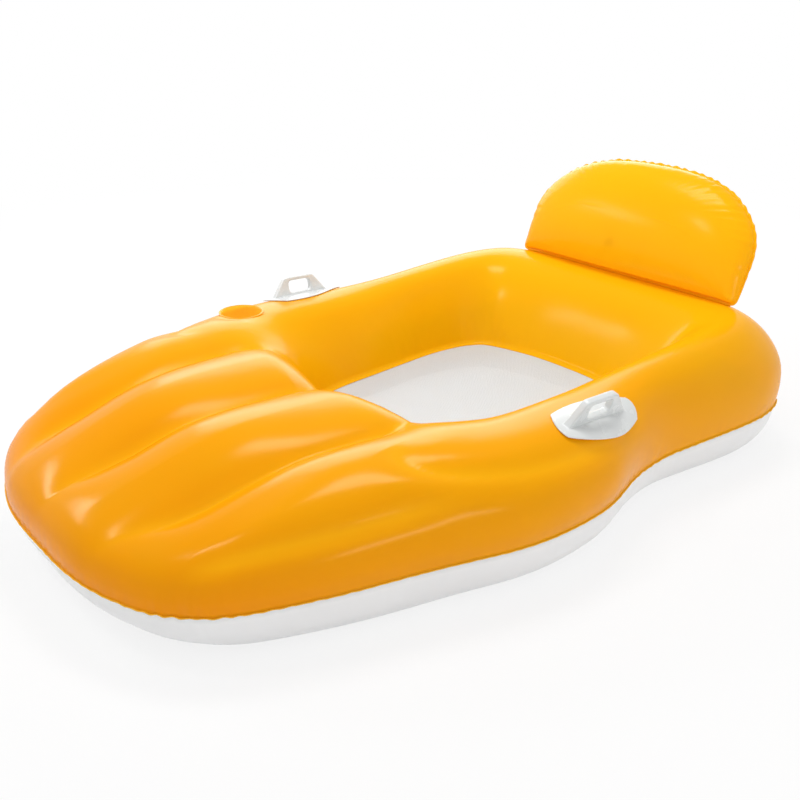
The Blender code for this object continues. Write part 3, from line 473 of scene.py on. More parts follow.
class Graph:
    """A shader or geometry node tree that is built by one method."""

    def __init__(self, tree: bpy.types.NodeTree) -> None:
        """Start from an empty tree."""
        self.tree = tree
        tree.nodes.clear()

    @classmethod
    def of(cls, block: Material | bpy.types.World) -> "Graph":
        """Empty graph of a material or a world."""
        block.use_nodes = True
        return cls(block.node_tree)

    def node(
        self, kind: str, settings: dict[str, Any] | None = None,
        sockets: dict[int | str, Any] | None = None, output: int | str = 0,
    ) -> Sock:
        """Add a node.

        Args:
            kind: the node's type.
            settings: its properties, and "stops" for a colour ramp's.
            sockets: values or links for its inputs, by number or name.
            output: which output to return.

        Returns:
            The wanted output, or for a node without outputs a wrapper that holds None.
        """
        made = self.tree.nodes.new(kind)
        for name, value in (settings or {}).items():
            if name == "stops":
                self.set_stops(made.color_ramp, value)
            else:
                setattr(made, name, value)
        for key, value in (sockets or {}).items():
            if isinstance(value, Sock):
                self.tree.links.new(value.socket, made.inputs[key])
            else:
                made.inputs[key].default_value = value
        return Sock(self, made.outputs[output] if len(made.outputs) else None)

    @staticmethod
    def set_stops(ramp: bpy.types.ColorRamp, stops: Sequence[tuple[float, float]]) -> None:
        """Set a ramp's grey stops, as (place, level) pairs."""
        while len(ramp.elements) < len(stops):
            ramp.elements.new(0.5)
        for element, (place, level) in zip(ramp.elements, stops):
            element.position = place
            element.color = (level, level, level, 1)

    def place(self) -> Sock:
        """Object coordinates."""
        return self.node("ShaderNodeTexCoord", output="Object")

    def part(self, vector: Sock, axis: str) -> Sock:
        """One coordinate of a vector."""
        return self.node("ShaderNodeSeparateXYZ", None, {0: vector}, axis)

    def noise(self, scale: float, detail: float = 2.0) -> Sock:
        """Noise in object coordinates, about 0.5 on average.

        Args:
            scale: how fine it is.
            detail: how many finer layers it has.

        Returns:
            Its value.
        """
        sockets = {"Vector": self.place(), "Scale": scale, "Detail": detail}
        return self.node("ShaderNodeTexNoise", None, sockets)

    def blotches(self, scale: float, detail: float, low: float, high: float) -> Sock:
        """Patches that noise fills from 0 at one level to 1 at another."""
        stops = {"stops": ((low, 0), (high, 1))}
        return self.node("ShaderNodeValToRGB", stops, {0: self.noise(scale, detail)})

    def attribute(self, name: str) -> Sock:
        """A piece's own number, stored on its points."""
        return self.node("ShaderNodeAttribute", {"attribute_name": name}, output="Fac")

    def mixed(self, factor: Any, first: Colour | Sock, second: Colour | Sock) -> Sock:
        """Colour between two others.

        Args:
            factor: 0 for the first, 1 for the second.
            first: a colour.
            second: a colour.

        Returns:
            The mixed colour.
        """
        pair = [c if isinstance(c, Sock) else (*c, 1.0) for c in (first, second)]
        sockets = {0: factor, 6: pair[0], 7: pair[1]}
        return self.node("ShaderNodeMix", {"data_type": "RGBA"}, sockets, 2)

    def bump(self, height: Sock, depth: float, strength: float, below: Sock | None = None) -> Sock:
        """Normal of a surface raised by a height.

        Args:
            height: its value, from 0 to 1.
            depth: metres that a height of 1 stands for.
            strength: share of the effect that shows.
            below: normal of a coarser bump under this one.

        Returns:
            The normal.
        """
        sockets: dict[int | str, Any] = {"Height": height, "Distance": depth, "Strength": strength}
        if below is not None:
            sockets["Normal"] = below
        return self.node("ShaderNodeBump", None, sockets)

    def layered(self, share: Any, first: Sock, second: Sock) -> Sock:
        """Shader between two others."""
        return self.node("ShaderNodeMixShader", None, {0: share, 1: first, 2: second})

    def seen_rays(self) -> Sock:
        """1 for rays that see the white surroundings: from the eye, by gloss or through glass."""
        seen, gloss, through = (
            self.node("ShaderNodeLightPath", output=f"Is {kind} Ray")
            for kind in ("Camera", "Glossy", "Transmission"))
        return (seen + gloss + through).clamped()

    def close(self, shader: Sock, kind: str = "Material") -> None:
        """Lead a shader to the output."""
        self.node(f"ShaderNodeOutput{kind}", None, {"Surface": shader})


class Finish:
    """What every finish shares: a named material, uneven gloss and a Principled shader.

    Its drift is the scale, detail and spread of the roughness. Its wear is the scale, detail,
    first level and full level of the blotches, and how much of the worn colour they show. Its
    relief is how fine the grain is, how deep, and how much of it shows.
    """

    name: str = "finish"
    roughness: float = 0.3
    refraction: float = 1.5
    colour: Colour = (1.0, 1.0, 1.0)
    worn: Colour = (1.0, 1.0, 1.0)
    drift: tuple[float, float, float] = (11.0, 4.0, 0.14)
    wear: tuple[float, float, float, float, float] = (6.0, 6.0, 0.48, 0.78, 0.35)
    relief: tuple[float, float, float] = (240.0, 0.05 * MM, 0.5)

    def gloss(self, graph: Graph) -> Sock:
        """Roughness that drifts about the finish's own."""
        scale, detail, spread = self.drift
        return graph.noise(scale, detail) * spread + (self.roughness - spread / 2)

    def blotched(self, graph: Graph) -> Sock:
        """The finish's colour with worn patches."""
        *noise, share = self.wear
        return graph.mixed(graph.blotches(*noise) * share, self.colour, self.worn)

    def grain(self, graph: Graph, below: Sock | None = None) -> Sock:
        """Normal of the finish's grain, over a coarser one."""
        fineness, depth, share = self.relief
        return graph.bump(graph.noise(fineness), depth, share, below)

    def sockets(self, graph: Graph) -> dict[str, Any]:
        """Inputs of the finish's Principled shader."""
        return {}

    def material(self) -> Material:
        """Build it."""
        material = bpy.data.materials.new(self.name)
        graph = Graph.of(material)
        shader = graph.node("ShaderNodeBsdfPrincipled", None, self.sockets(graph))
        graph.close(self.over(graph, shader))
        return material

    def over(self, graph: Graph, shader: Sock) -> Sock:
        """The whole finish, around its Principled shader."""
        return shader


class Film(Finish):
    """A blown-up film, with soft waves under its grain. Swell is like relief."""

    swell: tuple[float, float, float] = (9.0, 3.0 * MM, 0.35)

    def skin(self, graph: Graph) -> Sock:
        """Normal of the waves and the grain."""
        fineness, depth, share = self.swell
        return self.grain(graph, graph.bump(graph.noise(fineness), depth, share))


@dataclass(frozen=True)
class FilmVinyl(Film):
    """Soft welded film, glossy and a little see-through. Painted light makes it paler where it faces
    up, towards the back, on the well's walls and in its creases, and gives it a glow that is
    strongest in the creases.
    """

    name: str = "orange_film"
    # deep and light are the film's shaded and lit tones; what mixes them is partly a random cloud of
    # tone and partly painted light.
    deep: Colour = (1.0, 0.405, 0.002)
    light: Colour = (1.0, 0.60, 0.004)
    # Painted light: the paler colour put into the creases and seams, where the film would lie in
    # shade.
    crease_light: Colour = (1.0, 0.56, 0.006)
    tint: Colour = (1.0, 0.70, 0.10)
    gloss_tint: Colour = (1.0, 0.86, 0.58)
    # Painted light: shares of the lit tone for facing up and for lying towards the back.
    top_light_share: float = 0.22
    rear_light_share: float = 0.40
    cloud_share: float = 0.5
    base_share: float = 0.12
    # Painted light: share of the lit tone on the well's walls.
    well_light_share: float = 0.42
    well_half_width: float = 0.385
    well_front: float = -0.30
    well_back: float = 0.65
    well_edge: float = 12.0
    well_front_edge: float = 6.0
    # Painted light: how much of the paler crease colour the creases take.
    crease_light_share: float = 0.8
    roughness: float = 0.20
    see_through: float = 0.36
    # Painted light: the emission is a glow that stands for light passing through the film, a little
    # all over and more in the creases.
    glow: float = 0.16
    plain_glow_share: float = 0.31
    crease_glow_share: float = 0.45
    refraction: float = 1.28
    drift: tuple[float, float, float] = (7.0, 4.0, 0.08)

    def inside(self, graph: Graph, along: Sock) -> Sock:
        """1 on the walls of the sitter's well, which are painted paler for the light that reaches
        them from both sides.
        """
        aside = graph.part(graph.place(), "X").math("ABSOLUTE")
        between = ((self.well_half_width - aside) * self.well_edge).clamped()
        between = between * ((self.well_back - along) * self.well_edge).clamped()
        return between * ((along - self.well_front) * self.well_front_edge).clamped()

    def sockets(self, graph: Graph) -> dict[str, Any]:
        """Inputs of the finish's Principled shader."""
        upward = graph.part(graph.node("ShaderNodeTexCoord", output="Normal"), "Z")
        along = graph.part(graph.place(), "Y")
        # Painted light: paler where it faces up, towards the back and on the well's walls; the noise
        # is a random cloud of tone.
        share = upward * self.top_light_share + along * self.rear_light_share
        share = share + graph.noise(2.6) * self.cloud_share
        share = share + self.inside(graph, along) * self.well_light_share + self.base_share
        colour = graph.mixed(share.clamped(), self.deep, self.light)
        # Painted light: creases and seams take a paler colour and more glow.
        crease = graph.attribute("crease_light")
        colour = graph.mixed((crease * self.crease_light_share).clamped(), colour, self.crease_light)
        # Painted light: the glow's share, larger in the creases.
        glowing = (crease * self.crease_glow_share + self.plain_glow_share).clamped()
        return {
            "Base Color": colour, "Roughness": self.gloss(graph),
            "Normal": self.skin(graph), "IOR": self.refraction,
            "Specular Tint": (*self.gloss_tint, 1.0),
            "Emission Color": graph.mixed(glowing, (0.0, 0.0, 0.0), colour),
            "Emission Strength": self.glow,
        }

    def over(self, graph: Graph, shader: Sock) -> Sock:
        """The film, with what is behind it showing through."""
        behind = graph.node("ShaderNodeBsdfTransparent", None, {"Color": (*self.tint, 1.0)})
        return graph.layered(self.see_through, shader, behind)


@dataclass(frozen=True)
class SatinVinyl(Film):
    """White bottom film, a little milky, with scuffs."""

    name: str = "white_film"
    colour: Colour = (0.91, 0.915, 0.92)
    worn: Colour = (0.84, 0.845, 0.855)
    roughness: float = 0.34
    swell: tuple[float, float, float] = (8.0, 3.0 * MM, 0.3)
    relief: tuple[float, float, float] = (260.0, 0.05 * MM, 0.5)

    def sockets(self, graph: Graph) -> dict[str, Any]:
        """Inputs of the finish's Principled shader."""
        return {
            "Base Color": self.blotched(graph), "Roughness": self.gloss(graph),
            "Normal": self.skin(graph), "IOR": self.refraction,
        }


@dataclass(frozen=True)
class MouldedPlastic(Finish):
    """White moulded grip: glossy, with a faint grain and greyer where hands rub."""

    name: str = "moulded_white"
    colour: Colour = (0.72, 0.74, 0.735)
    worn: Colour = (0.65, 0.665, 0.665)
    roughness: float = 0.26
    coat: float = 0.25
    coat_roughness: float = 0.15
    drift: tuple[float, float, float] = (40.0, 4.0, 0.16)
    wear: tuple[float, float, float, float, float] = (24.0, 5.0, 0.45, 0.8, 0.4)
    relief: tuple[float, float, float] = (420.0, 0.08 * MM, 0.6)

    def sockets(self, graph: Graph) -> dict[str, Any]:
        """Inputs of the finish's Principled shader."""
        return {
            "Base Color": self.blotched(graph), "Roughness": self.gloss(graph),
            "Normal": self.grain(graph), "IOR": self.refraction,
            "Coat Weight": self.coat, "Coat Roughness": self.coat_roughness,
        }


@dataclass(frozen=True)
class NetYarn(Finish):
    """White polyester yarn of the net and its tape."""

    name: str = "net_yarn"
    colour: Colour = (0.735, 0.79, 0.825)
    shaded: Colour = (0.645, 0.695, 0.73)
    roughness: float = 0.6
    sheen: float = 0.15
    sheen_roughness: float = 0.5
    drift: tuple[float, float, float] = (60.0, 2.0, 0.1)
    relief: tuple[float, float, float] = (900.0, 0.25 * MM, 0.8)

    def sockets(self, graph: Graph) -> dict[str, Any]:
        """Inputs of the finish's Principled shader."""
        loops = graph.noise(self.relief[0])
        return {
            "Base Color": graph.mixed(loops, self.shaded, self.colour),
            "Roughness": self.gloss(graph), "Normal": self.grain(graph),
            "Sheen Weight": self.sheen, "Sheen Roughness": self.sheen_roughness,
        }


# The ring


@dataclass(frozen=True)
class RingForm:
    """Sizes and tables of the welded ring, and its smooth surface."""

    width: float = 1.04
    length: float = 1.58
    weld_height: float = 0.095
    arm_shoulder: float = 0.133
    nose_deck: float = 0.482
    back_shoulder: float = 0.135
    crest_height: float = 0.249
    arm_fall: float = 0.116
    nose_fall: float = 0.143
    back_fall: float = 0.175
    well_height: float = 0.09
    per_station: int = 12
    per_row: int = 8
    soft_stations: float = 0.32
    soft_rows: float = 0.22
    outer_shares: Pairs = (
        (0.000, -1.000), (0.269, -0.996), (0.519, -0.947), (0.625, -0.896), (0.712, -0.829),
        (0.817, -0.639), (0.875, -0.481), (0.929, -0.354), (0.981, -0.237), (1.000, -0.114),
        (0.985, 0.025), (0.942, 0.114), (0.894, 0.209), (0.867, 0.329), (0.879, 0.468),
        (0.898, 0.671), (0.875, 0.791), (0.798, 0.886), (0.538, 0.977), (0.269, 0.999),
        (0.000, 1.000),
    )
    crest_shares: Pairs = (
        (0.000, -1.000), (0.315, -0.954), (0.607, -0.917), (0.736, -0.904), (0.832, -0.884),
        (0.912, -0.842), (0.959, -0.776), (0.987, -0.682), (1.000, -0.568), (0.997, -0.423),
        (0.987, -0.256), (0.974, -0.132), (0.966, 0.003), (0.964, 0.159), (0.972, 0.346),
        (0.979, 0.637), (0.943, 0.834), (0.840, 0.938), (0.574, 0.985), (0.284, 1.000),
        (0.000, 1.000),
    )
    well_shares: Pairs = (
        (0.000, -1.000), (0.325, -0.984), (0.583, -0.947), (0.686, -0.907), (0.760, -0.845),
        (0.834, -0.712), (0.871, -0.597), (0.897, -0.488), (0.915, -0.364), (0.930, -0.225),
        (0.948, -0.085), (0.967, 0.054), (0.985, 0.194), (1.000, 0.349), (1.000, 0.504),
        (0.967, 0.705), (0.886, 0.839), (0.768, 0.904), (0.461, 0.972), (0.232, 0.997),
        (0.000, 1.000),
    )
    height_shares: tuple[float, ...] = (
        1.035, 1.035, 1.035, 1.035, 1.035, 1.03, 1.02, 1.005, 1.00, 1.00, 1.00, 1.005, 1.02,
        1.045, 1.07, 1.105, 1.12, 1.13, 1.13, 1.13, 1.13,
    )
    deck_shares: tuple[float, ...] = (1.0, 0.9, 0.5, 0.25, 0.1) + (0.0,) * 16
    corner_shares: tuple[float, ...] = (0.0, 0.1, 0.5, 0.7, 0.6, 0.35, 0.12) + (0.0,) * 14
    back_shares: tuple[float, ...] = (0.0,) * 13 + (0.1, 0.25, 0.55, 0.8, 1.0, 1.0, 1.0, 1.0)
    deck_rise: Pairs = (
        (0, 0), (-0.005, 0.18), (0.01, 0.35), (0.07, 0.51), (0.22, 0.70), (0.58, 1.02), (1, 1))
    corner_rise: Pairs = (
        (0, 0), (0.00, 0.19), (0.05, 0.39), (0.16, 0.58), (0.36, 0.78), (0.66, 0.97), (1, 1))
    arm_rise: Pairs = (
        (0, 0), (-0.09, 0.25), (-0.08, 0.52), (0.05, 0.75), (0.27, 0.91), (0.60, 0.99), (1, 1))
    back_rise: Pairs = (
        (0, 0), (-0.03, 0.22), (0.01, 0.45), (0.18, 0.66), (0.43, 0.84), (0.72, 0.965), (1, 1))
    deck_fall: Pairs = (
        (0.34, 0.955), (0.61, 0.81), (0.81, 0.56), (0.94, 0.27), (1, 0))
    arm_fall_shares: Pairs = (
        (0.26, 0.965), (0.47, 0.85), (0.67, 0.61), (0.86, 0.30), (1, 0))
    back_fall_shares: Pairs = (
        (0.24, 0.975), (0.46, 0.86), (0.67, 0.62), (0.86, 0.30), (1, 0))

    @property
    def last_station(self) -> int:
        """Number of the station at the back's centre."""
        return len(self.outer_shares) - 1

    @property
    def crest_row(self) -> int:
        """Section row of the ridge."""
        return len(self.arm_rise) - 1

    @property
    def last_row(self) -> int:
        """Section row of the well's weld."""
        return self.crest_row + len(self.arm_fall_shares)

    @property
    def crest_width(self) -> float:
        """Width of the ridge's plan."""
        return self.width - 2 * self.arm_shoulder

    @property
    def crest_length(self) -> float:
        """Length of the ridge's plan."""
        return self.length - self.nose_deck - self.back_shoulder

    @property
    def crest_middle(self) -> float:
        """Y of the middle of the ridge's plan."""
        return (self.nose_deck - self.back_shoulder) / 2

    def plan(
        self, shares: Sequence[Sequence[float]], width: float, length: float, middle: float
    ) -> Array:
        """Plan points of one of the three rings.

        Args:
            shares: its points, as shares of its half sizes.
            width: its width.
            length: its length.
            middle: Y of its middle.

        Returns:
            One point for each station.
        """
        table = np.asarray(shares, float)
        return np.column_stack([table[:, 0] * width / 2, table[:, 1] * length / 2 + middle])

    def blended(
        self, arm: Any, others: Sequence[tuple[Any, Sequence[float]]], station: int
    ) -> Array:
        """Section at a station, between the armrest's and the others.

        Args:
            arm: the armrest's section.
            others: the other sections, each with its share at every station.
            station: the station's number.

        Returns:
            The section's points.
        """
        arm = np.asarray(arm, float)
        return arm + sum(shares[station] * (np.asarray(form) - arm) for form, shares in others)

    def sections(self) -> Array:
        """Section points of the right half, stations by rows by XYZ."""
        crest_width, crest_length, middle = self.crest_width, self.crest_length, self.crest_middle
        outer = self.plan(self.outer_shares, self.width, self.length, 0.0)
        crest = self.plan(self.crest_shares, crest_width, crest_length, middle)
        well = self.plan(
            self.well_shares, crest_width - 2 * self.arm_fall,
            crest_length - self.nose_fall - self.back_fall,
            middle + (self.nose_fall - self.back_fall) / 2)
        stations = []
        for k in range(self.last_station + 1):
            top = self.crest_height * self.height_shares[k]
            rise = self.blended(self.arm_rise, (
                (self.deck_rise, self.deck_shares), (self.corner_rise, self.corner_shares),
                (self.back_rise, self.back_shares)), k)
            fall = self.blended(self.arm_fall_shares, (
                (self.deck_fall, self.deck_shares), (self.deck_fall, self.corner_shares),
                (self.back_fall_shares, self.back_shares)), k)
            rows = [
                (*(outer[k] + (crest[k] - outer[k]) * across),
                 self.weld_height + (top - self.weld_height) * up) for across, up in rise]
            rows += [
                (*(crest[k] + (well[k] - crest[k]) * across),
                 self.well_height + (top - self.well_height) * up) for across, up in fall]
            stations.append(rows)
        return np.array(stations)

    def lattice(self) -> Array:
        """Finely divided and softened surface, round the whole ring by rows by XYZ."""
        right = self.sections()
        padded = np.concatenate([right[1:2] * MIRROR, right, right[-2:-1] * MIRROR])
        stations = np.arange(2 * self.last_station * self.per_station) / self.per_station
        stations -= self.last_station
        points = smooth_curve(padded, np.abs(stations) + 1)
        points[stations < 0] *= MIRROR
        rows = np.arange(self.last_row * self.per_row + 1) / self.per_row
        points = smooth_curve(points.transpose(1, 0, 2), rows).transpose(1, 0, 2)
        points = soften(points, self.soft_stations * self.per_station, closed=True)
        points = soften(points.transpose(1, 0, 2), self.soft_rows * self.per_row, closed=False)
        return points.transpose(1, 0, 2)


def soften(points: Array, sigma: float, closed: bool) -> Array:
    """Even out the first axis of a grid with a bell-shaped average.

    Args:
        points: the grid.
        sigma: width of the bell, in steps.
        closed: whether the axis closes on itself. The ends of an open axis stay where they are.

    Returns:
        The softened grid.
    """
    reach = math.ceil(3 * sigma)
    offsets = np.arange(-reach, reach + 1)
    weights = np.exp(-0.5 * (offsets / sigma) ** 2)
    weights /= weights.sum()
    if closed:
        padded = np.concatenate([points[-reach:], points, points[:reach]])
    else:
        low = 2 * points[:1] - points[reach:0:-1]
        high = 2 * points[-1:] - points[-2:-reach - 2:-1]
        padded = np.concatenate([low, points, high])
    return sum(w * padded[k:k + len(points)] for k, w in enumerate(weights))


def round_hole(points: Array, centre: Array, normal: Array, radius: float) -> Array:
    """Make a round hole in a grid: points beside it move to its edge.

    Args:
        points: columns by rows by XYZ, changed in place.
        centre: middle of the hole.
        normal: its axis.
        radius: its radius.

    Returns:
        A mask of the cells to leave out.
    """
    reach = 0.03
    offset = points - centre
    rise = offset @ normal
    flat = offset - rise[..., None] * normal
    away = np.linalg.norm(flat, axis=-1)
    inside = (away < radius) & (np.abs(rise) < reach)
    beyond = np.roll(inside, -1, axis=0)
    skip = beyond[:, 1:] & beyond[:, :-1] & inside[:, 1:] & inside[:, :-1]
    touches, kept = np.zeros_like(inside), np.zeros_like(inside)
    for shift in (0, 1):
        for mask, cells in ((touches, skip), (kept, ~skip)):
            rolled = np.roll(cells, shift, axis=0)
            mask[:, :-1] |= rolled
            mask[:, 1:] |= rolled
    edge = touches & kept
    rim = flat[edge] / away[edge][:, None] * radius
    points[edge] = centre + rim + rise[edge][:, None] * normal
    return skip


def level_seat(
    points: Array, centre: Array, normal: Array, sizes: tuple[float, float], depth: float
) -> None:
    """Press a grid flat round a place, so that a flange can lie on it.

    Args:
        points: columns by rows by XYZ, changed in place.
        centre: the place.
        normal: its outward axis.
        sizes: radius that is flat, and radius at which the grid is on its own curve again.
        depth: how far under the place the flat lies.
    """
    offset = points - centre
    rise = offset @ normal
    away = np.linalg.norm(offset - rise[..., None] * normal, axis=-1)
    share = smoothstep((sizes[1] - away) / (sizes[1] - sizes[0])) * (np.abs(rise) < sizes[1])
    points -= (share * (rise + depth))[..., None] * normal


@dataclass
class Ring:
    """The ring's form, read at any station and row."""

    form: RingForm = field(default_factory=RingForm)
    nudge: float = 0.05

    def __post_init__(self) -> None:
        """Work out the fine lattice once, with one more row past each end."""
        grid = self.form.lattice()
        self.columns = len(grid)
        low, high = 2 * grid[:, :1] - grid[:, 1:2], 2 * grid[:, -1:] - grid[:, -2:-1]
        self.grid = np.concatenate([low, grid, high], axis=1)

    def at(self, stations: Array, rows: Array) -> Array:
        """Surface points at matching station and row numbers.

        Args:
            stations: station numbers, negative on the left half.
            rows: section row numbers.

        Returns:
            XYZ along a new last axis.
        """
        stations, rows = np.broadcast_arrays(np.asarray(stations, float), np.asarray(rows, float))
        along = (stations + self.form.last_station) * self.form.per_station
        column = np.floor(along).astype(int)
        across = np.clip(rows, 0, self.form.last_row) * self.form.per_row
        row = np.clip(np.floor(across).astype(int), 0, self.grid.shape[1] - 4)
        columns = (column[..., None] + np.arange(-1, 3)) % self.columns
        picked = self.grid[columns[..., :, None], (row[..., None] + np.arange(4))[..., None, :]]
        first, second = cubic_weights(along - column), cubic_weights(across - row)
        return np.einsum("...i,...j,...ijk->...k", first, second, picked)

    def normal(self, stations: Array, rows: Array) -> Array:
        """Outward unit normals at matching station and row numbers."""
        stations, rows = np.broadcast_arrays(np.asarray(stations, float), np.asarray(rows, float))
        across = self.at(stations, rows + self.nudge) - self.at(stations, rows - self.nudge)
        normal = np.cross(self.run(stations, rows), across)
        return normal / np.linalg.norm(normal, axis=-1, keepdims=True)

    def run(self, stations: Array, rows: Array) -> Array:
        """Short steps round the ring at matching station and row numbers."""
        return self.at(stations + self.nudge, rows) - self.at(stations - self.nudge, rows)

    def row_line(self, stations: Array, row: float) -> Array:
        """Surface points of one section row at station numbers."""
        return self.at(stations, np.full(len(stations), float(row)))


@dataclass
class FloatSheets:
    """Orange top sheet and white bottom sheet, welded together and to the net."""

    ring: Ring
    skin: float = 0.5 * MM
    gap: float = 0.3 * MM
    net: float = 0.8 * MM
    flange: float = 3.5 * MM
    seat_flange: float = 12 * MM
    rows: int = 54
    column_counts: tuple[tuple[float, int], ...] = ((3, 26), (5, 20), (9, 18), (14, 18), (20, 20))
    lobe_depth: float = 0.034
    lobe_width: float = 0.115
    arm_depth: float = 0.010
    arm_width: float = 0.055
    side_depth: float = 0.010
    side_width: float = 0.050
    crease_radius: float = 0.022
    crease_fades: Pairs = (
        (0.32, 0.15), (0.32, 0.15), (0.32, 0.15), (0.2, 0.3))
    crease_steps: int = 120
    crease_free_rows: float = 1.2
    crease_pucker_wave: float = 0.030
    crease_pucker_reach: float = 0.022
    crease_pucker_start: float = 0.008
    crease_pucker_share: float = 0.025
    # Painted light: how far the paler crease colour spreads from each crease, and how much of it the
    # well's flange takes.
    crease_light_reach: float = 0.016
    seat_crease_light: float = 0.4
    pucker_wave: float = 0.024
    pucker_reach: float = 0.018
    pucker_start: float = 0.005
    pucker_least: float = 0.7 * MM
    pucker_most: float = 1.8 * MM
    well_pucker_wave: float = 0.045
    well_pucker_reach: float = 0.03
    well_pucker_start: float = 0.006
    well_pucker_least: float = 0.4 * MM
    well_pucker_more: float = 1.4 * MM
    low_pucker_reach: float = 0.02
    low_pucker_start: float = 1 / 12
    ruffle_least: float = 0.5 * MM
    ruffle_most: float = 2.3 * MM
    ruffle_wave: float = 0.024
    ruffle_reach: float = 0.012
    turns: tuple[tuple[float, float, float], ...] = (
        (0.0, 0.5, 2.0), (3.2, 1.0, 1.5), (12.2, 0.8, 1.4), (16.6, 1.0, 1.8))
    sampled_stations: tuple[int, ...] = (0, 3, 10)
    samples: int = 441
    weld_rows: float = 0.9
    outer_weld_share: float = 0.12
    well_weld_share: float = 0.08
    centre_crease: Pairs = (
        (0.0, -0.033), (0.0, 0.492), (0.0, 0.983), (0.0, 1.311))
    lobe_crease: Pairs = (
        (0.30, -0.033), (0.36, 0.131), (0.42, 0.279), (0.45, 0.492), (0.462, 0.738),
        (0.475, 0.951), (0.485, 1.082), (0.455, 1.213), (0.40, 1.311))
    arm_crease: Pairs = (
        (3.2, 6.2), (5.0, 5.0), (7.0, 3.85), (9.0, 3.3), (10.5, 3.15), (12.2, 3.0))
    side_crease: Pairs = ((2.6, 2.0), (4.0, 2.5), (5.5, 2.7), (7.2, 2.9))
    cup_centre: tuple[float, float] = (-0.412, -0.150)
    cup_radius: float = 0.046
    cup_rim: float = 0.250
    cup_flat: float = 0.055
    cup_blend: float = 0.078
    cup_gap: float = 1.5 * MM
    bilge: float = 0.080
    bilge_shares: Pairs = ((0, 0), (0.13, 0.50), (0.48, 0.86), (1, 1))
    nose_bilge_share: float = 0.5
    nose_bilge_length: float = 0.44
    nose_bilge_run: float = 0.35
    bilge_rows: int = 12
    floor_rows: tuple[float, ...] = (0.25, 0.5, 0.75)

    def stations(self) -> Array:
        """Station number of each column, closer together where the deck has its creases."""
        half: list[float] = []
        start = 0.0
        for end, count in self.column_counts:
            half += list(start + np.arange(round((end - start) * count)) / count)
            start = end
        right = np.array(half)
        return np.concatenate([-self.ring.form.last_station + np.zeros(1), -right[:0:-1], right])

    def creases(self) -> list[tuple[Array, float, float]]:
        """Lines of the right half's creases, plan or space, each with its depth and width."""
        form = self.ring.form
        found = []
        for shares in (self.centre_crease, self.lobe_crease):
            path = np.array(shares) * (form.width / 2, form.nose_deck) - (0, form.length / 2)
            line = smooth_curve(path, np.linspace(0, len(path) - 1, self.crease_steps))
            found.append((line, self.lobe_depth, self.lobe_width))
        for steps, depth, width in (
                (self.arm_crease, self.arm_depth, self.arm_width),
                (self.side_crease, self.side_depth, self.side_width)):
            path = smooth_curve(steps, np.linspace(0, len(steps) - 1, self.crease_steps))
            found.append((self.ring.at(path[:, 0], path[:, 1]), depth, width))
        return found

    def sunk(self, folded: Array, rows: Array) -> tuple[Array, Array, Array]:
        """How far the creases draw the sheet in.

        Args:
            folded: surface points with X made positive.
            rows: section row of each column's points.

        Returns:
            The depth at each point, the mask of painted light along the creases, and the puckers'
            height.
        """
        depths, crease_light_masks, puckers = [], [], []
        inner = self.ring.form.last_row - rows
        held = smoothstep(np.minimum(rows, inner) / self.crease_free_rows)
        for k, ((line, depth, width), ends) in enumerate(zip(self.creases(), self.crease_fades)):
            places = folded[..., :line.shape[1]]
            apart, along = nearest_on_line(places, line)
            length = lengths_along(line)[-1]
            share = along / length
            fade = smoothstep(np.minimum(share / ends[0], (1 - share) / ends[1]))
            rounded = np.sqrt(apart ** 2 + self.crease_radius ** 2) - self.crease_radius
            near = 1 - np.clip(rounded / width, 0, 1)
            depths.append(depth * fade * (1 - np.sqrt(1 - np.minimum(near, 1) ** 2)))
            # Mask of the painted light along this crease.
            crease_light_masks.append(fade * np.exp(-(apart / self.crease_light_reach) ** 2))
            wave = gathers(along, length, self.crease_pucker_wave, Seed.CREASES + k)
            beside = beside_weld(apart, self.crease_pucker_reach, self.crease_pucker_start)
            puckers.append(fade * wave * beside * depth * self.crease_pucker_share)
        most = np.max(depths, axis=0)
        return most * held, np.max(crease_light_masks, axis=0) * held, np.sum(puckers, axis=0) * held

    def top_points(self) -> tuple[Array, Array]:
        """Inner face of the orange sheet, columns by rows, and the mask of painted light along its
        creases.
        """
        form = self.ring.form
        stations = self.stations()
        rows = self.row_numbers()
        grid_stations, grid_rows = np.meshgrid(stations, rows, indexing="ij")
        points = self.ring.at(grid_stations, grid_rows)
        normals = grid_normals(points, closed=True)
        folded = points * np.where(points[..., :1] < 0, MIRROR, 1.0)
        depth, crease_light, pucker = self.sunk(folded, grid_rows)
        below = np.linalg.norm(points - points[:, :1], axis=2)
        inner = np.linalg.norm(points - points[:, -1:], axis=2)
        beside = beside_weld(below, self.pucker_reach, self.pucker_start)
        pucker = pucker + self.puckers(stations, points[:, 0])[:, None] * beside
        size = self.well_pucker_least + self.well_pucker_more * self.turning(stations)
        wave = gathers_round(points[:, 0], self.well_pucker_wave, Seed.WELL_WELD) * size
        beside = beside_weld(inner, self.well_pucker_reach, self.well_pucker_start)
        pucker = pucker + wave[:, None] * beside
        points = points + normals * (pucker - depth)[..., None]
        away = np.linalg.norm(points[..., :2] - np.array(self.cup_centre), axis=2)
        level = smoothstep((self.cup_blend - away) / (self.cup_blend - self.cup_flat))
        points[..., 2] -= level * np.maximum(points[..., 2] - self.cup_rim, 0)
        lift_outer, lift_well = self.gap / 2, self.net / 2 + self.gap
        points[..., 2] += lift_outer + (lift_well - lift_outer) * grid_rows / form.last_row
        points[..., 2] += self.ruffle(stations)[:, None] * np.exp(-below / self.ruffle_reach)
        return points, crease_light

    def puckers(self, stations: Array, weld: Array) -> Array:
        """How far the sheets stand out beside the outer weld at each station."""
        size = self.pucker_least + (self.pucker_most - self.pucker_least) * self.turning(stations)
        return gathers_round(weld, self.pucker_wave, Seed.OUTER_WELD) * size

